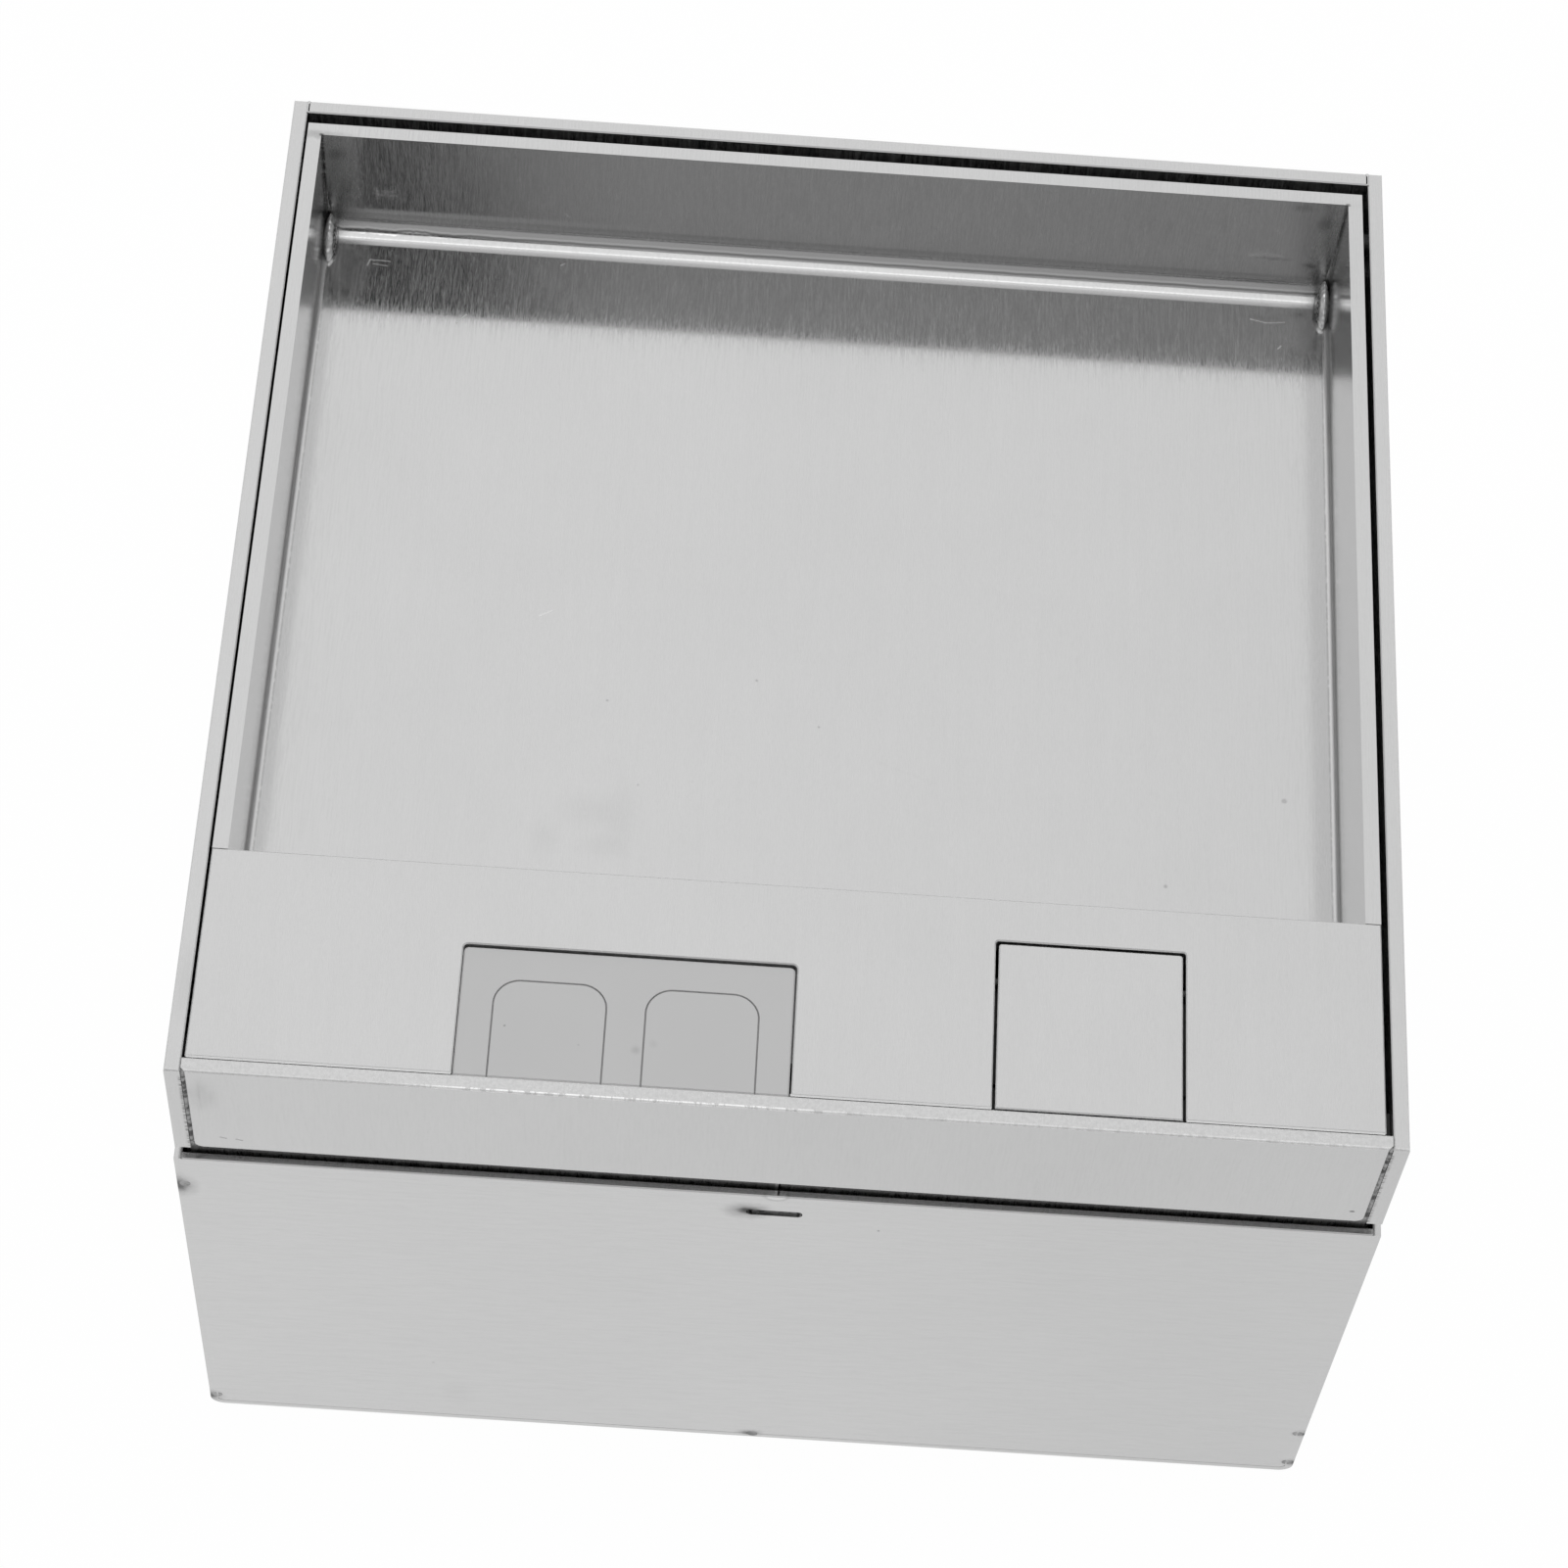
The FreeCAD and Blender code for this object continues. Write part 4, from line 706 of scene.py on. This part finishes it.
class FLOORBOX_OT_pan(bpy.types.Operator):
    """Models the folded pan, with round folds, open corner seams and hinge bores"""

    bl_idname = "floorbox.pan"
    bl_label = "Folded pan"

    def execute(self, context):
        front = COVER_HIGH.y - PLATE
        pan = folded_sheet(front)
        break_edges(pan)
        for side in (PAN_WEST, PAN_EAST):
            cut_seam(pan, side)
        for side in (TRAY_LOW.x, TRAY_HIGH.x):
            bore_for_pin(pan, side)
        finished(pan, "folded_pan", "lid", pan_steel(context.scene.floorbox_finish), 32)
        keep_walls_flat(pan)
        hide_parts("lid_tray")
        return {"FINISHED"}


def fill_frame_seams(metal):
    """Fills the grooves between the broken edges of the frame's back and side plates."""
    half = EDGE_BREAK + 0.02 * MM
    groove_low = BAR_HIGH.z - EDGE_BREAK
    for name, x in (("west", BAR_LOW.x), ("east", BAR_HIGH.x)):
        low = (x - half, -BAR_LOW.y - PLATE, groove_low)
        fill = add_block("fill", low, (x + half, -BAR_LOW.y, BAR_HIGH.z))
        round_edges(fill, 0.22 * MM, 1, lambda end: close(end.z, groove_low))
        finished(fill, f"frame_fill_{name}", "box", metal, 20)


def raise_cover_burr(metal):
    """Leaves a burr on the cover's front edge, beside the outlet and the flap, that nearly meets the bar."""
    flange, clear, slack = 1.8 * MM, 0.7 * MM, 0.07 * MM
    spans = {
        "west": (COVER_LOW.x + EDGE_BREAK, INSERT_LOW.x + flange),
        "middle": (INSERT_HIGH.x - flange, FLAP_LOW.x - clear),
        "east": (FLAP_HIGH.x + clear, COVER_HIGH.x - EDGE_BREAK),
    }
    front, top = BAR_LOW.y + PLATE + slack, COVER_HIGH.z - slack
    for name, (start, end) in spans.items():
        low = (start, front, COVER_LOW.z + EDGE_BREAK)
        burr = add_block("burr", low, (end, COVER_LOW.y + EDGE_BREAK, top))
        round_edges(burr, 0.06 * MM, 2, lambda point: close(point.y, front) and close(point.z, top))
        finished(burr, f"cover_burr_{name}", "lid", metal, 30)


def fill_panel_seams(metal):
    """Fills the joints round the front and back panels with a strip a little wider than the joint."""
    lap = 0.12 * MM
    proud = 0.002 * MM
    wide = BOX_HIGH.x - SHEET + lap
    narrow = PANEL_HIGH.x - lap
    low, high = PANEL_LOW.z + lap, PANEL_HIGH.z - EDGE_BREAK
    for name, outer, inner in (("front", BOX_LOW.y, PANEL_HIGH.y), ("back", BOX_HIGH.y, -PANEL_HIGH.y)):
        near, far = sorted((outer + math.copysign(proud, outer), inner))
        fill = add_block("fill", (-wide, near, SHEET - lap), (wide, far, high))
        round_edges(fill, SHEET, 8, lambda end: close(abs(end.x), wide) and end.z < SHEET)
        gap = add_block("gap", (-narrow, near - MM, low), (narrow, far + MM, high + MM))
        round_edges(gap, SHEET, 8, lambda end: close(abs(end.x), narrow) and close(end.z, low))
        combine(fill, gap)
        finished(fill, f"panel_fill_{name}", "box", metal, 30)


class FLOORBOX_OT_seam_fills(bpy.types.Operator):
    """Models the ground weld in the joints of frame and box, and the burr on the cover's front edge"""

    bl_idname = "floorbox.seam_fills"
    bl_label = "Ground seam fills"

    def execute(self, context):
        fill_frame_seams(bpy.data.materials["steel_frame"])
        raise_cover_burr(bpy.data.materials["steel_cover"])
        fill_panel_seams(bpy.data.materials["steel_panel"])
        return {"FINISHED"}


# ---------------------------------------------------------------- plastics and fixings


def marked_outlet(paint, tint):
    """The outlet's colour with a few dirt specks, and paler in its score lines, where painted light lifts
    their shade.
    """
    where = paint.ragged(0.2 * MM, 900.0)
    # x and y of each speck in millimetres, its radius, and how strong it is.
    specks = (
        (-53.4, -100.9, 0.35, 0.6),
        (-28.8, -104.2, 1.3, 0.22),
        (-25.6, -102.7, 1.2, 0.1),
        (-39.5, -103.9, 0.4, 0.2),
    )
    for x, y, radius, share in specks:
        spot = paint.spot(where, (x * MM, y * MM, INSERT_HIGH.z), radius * MM, 0.0)
        tint = paint.mixed(spot * share, tint, grey(0.12))
    _, _, z = paint.parts(paint.place)
    # Painted light: the score lines are made paler, lifting the shade in them.
    lifted_scores = (z < INSERT_HIGH.z - 0.04 * MM) * (z > INSERT_HIGH.z - 0.6 * MM)
    return paint.mixed(lifted_scores * 0.5, tint, grey(0.85))


def moulded_plastic(name, colour, rough=0.45, texture=1400.0, depth=3e-6, marked=False):
    """Injection moulding with a fine spark-eroded texture, faint flow marks and, if wanted, a few specks and
    paler score lines, which are painted light.
    """
    paint = Paint(name)
    grainy = paint.noise(paint.place, texture, detail=2.0)
    flow = paint.noise(paint.place, 45.0, detail=3.0)
    dark = [part * 0.94 for part in colour]
    tint = paint.mixed(flow, (*colour, 1.0), (*dark, 1.0))
    if marked:
        tint = marked_outlet(paint, tint)
    roughness = rough + (flow - 0.5) * 0.08
    return paint.surface(Base_Color=tint, Roughness=roughness, Normal=paint.bump(grainy, depth))


def turned_metal(name, colour, rough):
    """Small turned or pressed metal pieces, with faint tool marks."""
    paint = Paint(name)
    marks = paint.noise(paint.place, 900.0, detail=3.0)
    cloud = paint.noise(paint.place, 160.0, detail=2.0)
    tint = paint.mixed(cloud, (*colour, 1.0), (*[part * 0.84 for part in colour], 1.0))
    roughness = rough + (cloud - 0.5) * 0.12
    return paint.surface(Base_Color=tint, Metallic=1.0, Roughness=roughness, Normal=paint.bump(marks, 2e-6))


def weld_metal(name, light, dark, rough=0.26, scale=700.0, depth=6e-5):
    """Weld metal: ripples of the pool, with oxide in the hollows."""
    paint = Paint(name)
    ripple = paint.noise(paint.place, scale, detail=4.0, rough=0.6)
    soot = paint.noise(paint.place, scale * 0.6, detail=3.0)
    tint = paint.mixed(soot.ramp(0.38, 0.62), grey(dark), grey(light))
    roughness = rough + soot * 0.14
    return paint.surface(Base_Color=tint, Metallic=1.0, Roughness=roughness, Normal=paint.bump(ripple, depth))


def rubber(name):
    paint = Paint(name)
    grainy = paint.noise(paint.place, 2200.0, detail=2.0)
    bloom = paint.noise(paint.place, 120.0, detail=3.0)
    tint = paint.mixed(bloom, grey(0.02), grey(0.05))
    return paint.surface(Base_Color=tint, Roughness=0.75, Normal=paint.bump(grainy, 6e-6))


class FLOORBOX_OT_plastics(bpy.types.Operator):
    """Gives the mouldings and the rubber feet their finishes"""

    bl_idname = "floorbox.plastics"
    bl_label = "Plastics and rubber"

    def execute(self, context):
        look = context.scene.floorbox_finish
        outlet = moulded_plastic("plastic_outlet", tuple(look.insert_colour), marked=True)
        dress(outlet, "cable_outlet_insert")
        white = moulded_plastic("plastic_white", (0.78, 0.78, 0.76), rough=0.32)
        dress(white, *[f"power_socket_{side}" for side in ("left", "middle", "right")])
        dress(white, "data_module", "blank_module_middle", "blank_module_right")
        dress(moulded_plastic("plastic_trim", (0.06, 0.06, 0.065)), "power_trim", "data_trim")
        dress(moulded_plastic("plastic_jack", (0.02, 0.02, 0.02)), "data_jack_left", "data_jack_right")
        dress(rubber("rubber_foot"), "lid_buffers")
        return {"FINISHED"}


class FLOORBOX_OT_fixings(bpy.types.Operator):
    """Gives the fixings, contacts and small welds their finishes"""

    bl_idname = "floorbox.fixings"
    bl_label = "Fixings and contacts"

    def execute(self, context):
        zinc = turned_metal("zinc_plate", (0.62, 0.63, 0.65), 0.3)
        dress(zinc, "levelling_nuts", "levelling_screws", "carrier_screws", "carrier_nuts", "trim_screws")
        dress(turned_metal("earth_clip", (0.6, 0.6, 0.6), 0.22), "socket_earth_clips")
        # Painted shade: the pins are made near black, so the gaps they sit in look dark.
        dress(turned_metal("pin_gap_shade", (0.05, 0.05, 0.05), 0.4), "hinge_pins", "flap_pin")
        brass = turned_metal("brass", (0.66, 0.5, 0.24), 0.26)
        dress(brass, "socket_contacts", "jack_contacts", "earth_stud", "earth_nuts", "earth_washers")
        dress(weld_metal("weld_tack", 0.36, 0.16), "box_tack_welds")
        dress(weld_metal("weld_corner", 0.3, 0.04, scale=1300.0), "frame_corner_welds")
        return {"FINISHED"}


# ---------------------------------------------------------------- weld pieces


def nugget_metal(crest):
    """Nugget: a painted highlight along its crest, the side that faces the wall painted lighter and mat to
    lift its shade, speckled on the other.
    """
    paint = Paint("weld_nugget")
    x, _, _ = paint.parts(paint.ragged(0.25 * MM, 900.0))
    from_middle = abs(x - (PAN_WEST + PAN_EAST) / 2)
    speckle = paint.noise(paint.place, 1500.0, detail=3.0, rough=0.6)
    tint = paint.mixed(speckle.ramp(0.42, 0.6), grey(0.12), grey(0.5))
    # The side facing the wall is painted lighter and made mat, lifting the shade that falls there.
    flank = from_middle.ramp(crest + 0.1 * MM, crest + 0.5 * MM)
    tint = paint.mixed(flank, tint, grey(0.5))
    # A painted highlight along the crest.
    bright = from_middle.near(crest - 0.1 * MM, 0.8 * MM)
    tint = paint.mixed(bright, tint, grey(1.0))
    ripple = paint.noise(paint.place, 1000.0, detail=3.0)
    return paint.surface(
        Base_Color=tint,
        Metallic=1.0 - flank * 0.8,
        Roughness=0.2 + speckle * 0.16 + bright * 0.06,
        Normal=paint.bump(ripple, 1.3e-4),
    )


def weld_lens(centre, half_sizes, tilt, crest_side):
    """A nugget standing on edge along a fold: a lens with a rippled crest, nearer to the wall on one side."""
    bpy.ops.object.select_all(action="DESELECT")
    bpy.ops.mesh.primitive_uv_sphere_add(segments=72, ring_count=48, radius=1.0)
    lens = bpy.context.object
    for vertex in lens.data.vertices:
        point = vertex.co.copy()
        swell = 1.0 + 0.05 * noise.noise(point * 2.6 + Vector(centre) * 900.0)
        round_crest = math.atan2(point.z, point.y)
        ripple = 1.0 + 0.025 * math.sin(22.0 * round_crest) * (1.0 - abs(point.x))
        sharp = math.copysign(abs(point.x) ** 1.5, point.x)
        leaned = sharp + 0.12 * crest_side * (1.0 - sharp * sharp)
        vertex.co = Vector((leaned, point.y, point.z)) * swell * ripple
    lens.scale = half_sizes
    lens.rotation_euler = (tilt, 0, 0)
    lens.location = centre
    return lens


class FLOORBOX_OT_nuggets(bpy.types.Operator):
    """Models the weld nuggets in the four corners of the pan"""

    bl_idname = "floorbox.nuggets"
    bl_label = "Corner nuggets"

    def execute(self, context):
        off_wall, off_end, height = in_mm(1.3, 5.2, 2.0)
        half_sizes = in_mm(1.5, 5.3, 2.9)
        tilt = math.radians(23)
        metal = nugget_metal((PAN_EAST - PAN_WEST) / 2 - off_wall)
        number = 0
        for wall, inward in ((PAN_WEST, 1), (PAN_EAST, -1)):
            for end, forward in ((PAN_BACK, -1), (COVER_HIGH.y, 1)):
                number += 1
                centre = (wall + inward * off_wall, end + forward * off_end, PAN_FLOOR + height)
                lens = weld_lens(centre, half_sizes, -forward * tilt, -inward)
                finished(lens, f"nugget_{number}", "lid", metal)
                if number == 1:
                    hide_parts("tray_corner_welds")
        return {"FINISHED"}


def weld_bead(number):
    """A lumpy bead along a slot, thickest at its left end and no two alike."""
    bpy.ops.object.select_all(action="DESELECT")
    bpy.ops.mesh.primitive_uv_sphere_add(segments=64, ring_count=32, radius=1.0)
    bead = bpy.context.object
    for vertex in bead.data.vertices:
        x, y, z = vertex.co
        lump = 1.0 + 0.28 * noise.noise(vertex.co * 2.2 + Vector((number * 7.0, 0, 0)))
        bulge = noise.noise(Vector((x * 7.0, number * 3.0, 0.0)))
        thick = 1.0 + 0.5 * math.exp(-(((x + 0.75) / 0.3) ** 2))
        vertex.co = Vector((x, y * (lump + 0.3 * bulge), z * lump * thick))
    bead.scale = in_mm(4.3, 0.5, 0.6)
    bead.location = (-1.3 * MM, 0.75 * MM - BOX_HIGH.x, SLOT_HEIGHT)
    place_in_mesh(bead)
    return bead


class FLOORBOX_OT_slot_welds(bpy.types.Operator):
    """Models the rough weld that fills the slots over the ends of the brackets' tabs"""

    bl_idname = "floorbox.slot_welds"
    bl_label = "Slot welds"

    def execute(self, context):
        metal = weld_metal("weld_slot", 0.12, 0.012, rough=0.34, scale=1500.0, depth=6e-5)
        for number in range(4):
            bead = weld_bead(number)
            bpy.ops.transform.rotate(
                value=number * math.pi / 2, orient_axis="Z", orient_type="GLOBAL", center_override=(0, 0, 0)
            )
            finished(bead, f"slot_weld_{number + 1}", "box", metal)
        return {"FINISHED"}


# ---------------------------------------------------------------- stage


def floor_paint(seen_share, mirrored_share):
    """White floor: seen directly or in metal it is mostly plain white, with the box's shadow still on it."""
    paint = Paint("studio_floor")
    seen = paint.node("LightPath", output="Is Camera Ray")
    mirrored = paint.node("LightPath", output="Is Glossy Ray")
    through = paint.node("LightPath", output="Is Transmission Ray")
    grain = paint.noise(paint.place, 3.0, detail=2.0)
    tint = paint.mixed(grain, grey(0.88), grey(0.9))
    plain = paint.node("BsdfDiffuse", inputs={"Color": tint})
    white = paint.node("Emission", inputs={"Color": grey(1.0), "Strength": 1.0})
    factor = (seen * seen_share).higher(mirrored.higher(through) * mirrored_share)
    return paint.output(paint.node("MixShader", inputs={0: factor, 1: plain, 2: white}))


def room_paint(strength):
    """Even light from all round, a little weaker to the right."""
    room = Surroundings("studio")
    across, _, _ = room.parts(room.place)
    level = across.ramp(-0.05, 0.25, 1.0, 0.86)
    colour = room.mixed(level, grey(0.0), grey(1.0))
    return room.output(room.node("Background", inputs={"Color": colour, "Strength": strength}))


def add_lamp(name, place, target, size, radiance):
    """A rectangular soft lamp, given by how bright its face is."""
    bpy.ops.object.light_add(type="AREA", location=place)
    lamp = bpy.context.object
    lamp.name = name
    width, depth = size
    lamp.data.shape = "RECTANGLE"
    lamp.data.size = width
    lamp.data.size_y = depth
    lamp.data.energy = radiance * math.pi * width * depth
    lamp.rotation_euler = (Vector(target) - Vector(place)).to_track_quat("-Z", "Y").to_euler()
    lamp.visible_camera = False
    return lamp


def add_flag():
    """A black card to the left, which darkens what the left end of the pan mirrors."""
    bpy.ops.mesh.primitive_plane_add(size=0.62, location=(-0.5, -0.86, 1.3))
    flag = bpy.context.object
    flag.name = "studio_flag"
    flag.rotation_euler = (Vector((0, 0, 0.1)) - flag.location).to_track_quat("-Z", "Y").to_euler()
    black = Paint("studio_black")
    cloth = black.mixed(black.noise(black.place, 9.0), grey(0.02), grey(0.04))
    flag.data.materials.append(black.output(black.node("BsdfDiffuse", inputs={"Color": cloth})))
    flag.visible_camera = False
    return flag


class FLOORBOX_OT_stage(bpy.types.Operator):
    """Sets the floor, the soft studio light and the camera"""

    bl_idname = "floorbox.stage"
    bl_label = "Stage"

    def execute(self, context):
        scene = context.scene
        stage = scene.floorbox_stage
        bpy.ops.object.select_all(action="DESELECT")
        bpy.ops.mesh.primitive_plane_add(size=stage.floor_size, location=(0, 0, 0))
        floor = context.object
        floor.name = "studio_floor"
        floor.data.materials.append(floor_paint(stage.floor_white, stage.floor_mirrored))
        flag = add_flag()

        scene.world = room_paint(stage.room_light)
        add_lamp("back_softbox", (0, 1.35, 1.95), (0, 0, 0.1), (5.0, 4.0), stage.back_light)
        add_lamp("top_softbox", (0, -0.5, 2.05), (0, -0.5, 0), (2.6, 1.1), stage.top_light)

        bpy.ops.object.camera_add(location=stage.camera_place)
        camera = context.object
        camera.rotation_euler = stage.camera_turn
        camera.data.lens = stage.camera_lens
        camera.data.sensor_width = 36.0
        camera.data.clip_start = 0.01
        scene.camera = camera
        scene.view_settings.view_transform = "Standard"
        return {"FINISHED"}


# ---------------------------------------------------------------- settings and panel


def level_setting(name, description, default):
    return bpy.props.FloatProperty(name=name, description=description, default=default, min=0, soft_max=2)


class FloorboxFinish(bpy.types.PropertyGroup):
    top_tone: level_setting("Top tone", "Brightness of the steel of frame and lid", 0.6)
    top_rough: level_setting("Top roughness", "Roughness of the steel of frame and lid", 0.13)
    box_tone: level_setting("Box tone", "Brightness of the steel of the lower box", 0.59)
    box_rough: level_setting("Box roughness", "Roughness of the steel of the lower box", 0.16)
    insert_colour: bpy.props.FloatVectorProperty(
        name="Outlet grey",
        description="Colour of the cable outlet moulding",
        subtype="COLOR",
        default=(0.63, 0.63, 0.63),
        min=0,
        max=1,
    )


class FloorboxStage(bpy.types.PropertyGroup):
    camera_place: bpy.props.FloatVectorProperty(
        name="Camera place",
        description="Where the camera stands",
        subtype="TRANSLATION",
        unit="LENGTH",
        default=(-0.0190, -0.4822, 0.8760),
    )
    camera_turn: bpy.props.FloatVectorProperty(
        name="Camera turn",
        description="Which way the camera points",
        subtype="EULER",
        unit="ROTATION",
        default=tuple(math.radians(angle) for angle in (31.062, -2.824, 2.726)),
    )
    camera_lens: bpy.props.FloatProperty(
        name="Lens", description="Focal length in millimetres", default=100.96, min=10
    )
    floor_size: bpy.props.FloatProperty(
        name="Floor size", description="Side of the square floor", unit="LENGTH", default=6.0
    )
    floor_white: level_setting("Floor white", "Share of plain white in the floor as it is seen", 0.985)
    floor_mirrored: level_setting(
        "Mirrored floor", "Share of plain white in the floor as metal mirrors it", 0.88
    )
    room_light: level_setting("Room light", "Even light from all round", 0.45)
    back_light: level_setting("Back light", "Brightness of the large softbox behind", 0.58)
    top_light: level_setting("Top light", "Brightness of the softbox overhead", 0.75)


OPERATORS = (
    FLOORBOX_OT_steel,
    FLOORBOX_OT_pan,
    FLOORBOX_OT_seam_fills,
    FLOORBOX_OT_plastics,
    FLOORBOX_OT_fixings,
    FLOORBOX_OT_nuggets,
    FLOORBOX_OT_slot_welds,
    FLOORBOX_OT_stage,
)


class FLOORBOX_PT_panel(bpy.types.Panel):
    """Lists the steps that finish the floor box"""

    bl_idname = "FLOORBOX_PT_panel"
    bl_label = "Floor box"
    bl_space_type = "VIEW_3D"
    bl_region_type = "UI"
    bl_category = "Floor box"

    def draw(self, context):
        for operator in OPERATORS:
            self.layout.operator(operator.bl_idname)
        for group in (context.scene.floorbox_finish, context.scene.floorbox_stage):
            for name in group.bl_rna.properties.keys():
                if name not in ("rna_type", "name"):
                    self.layout.prop(group, name)


CLASSES = (FloorboxFinish, FloorboxStage, *OPERATORS, FLOORBOX_PT_panel)


def register():
    for item in CLASSES:
        bpy.utils.register_class(item)
    bpy.types.Scene.floorbox_finish = bpy.props.PointerProperty(type=FloorboxFinish)
    bpy.types.Scene.floorbox_stage = bpy.props.PointerProperty(type=FloorboxStage)


def unregister():
    del bpy.types.Scene.floorbox_finish
    del bpy.types.Scene.floorbox_stage
    for item in reversed(CLASSES):
        bpy.utils.unregister_class(item)


def main():
    register()
    bpy.ops.floorbox.steel()
    bpy.ops.floorbox.pan()
    bpy.ops.floorbox.seam_fills()
    bpy.ops.floorbox.plastics()
    bpy.ops.floorbox.fixings()
    bpy.ops.floorbox.nuggets()
    bpy.ops.floorbox.slot_welds()
    bpy.ops.floorbox.stage()


if __name__ == "__main__":
    main()
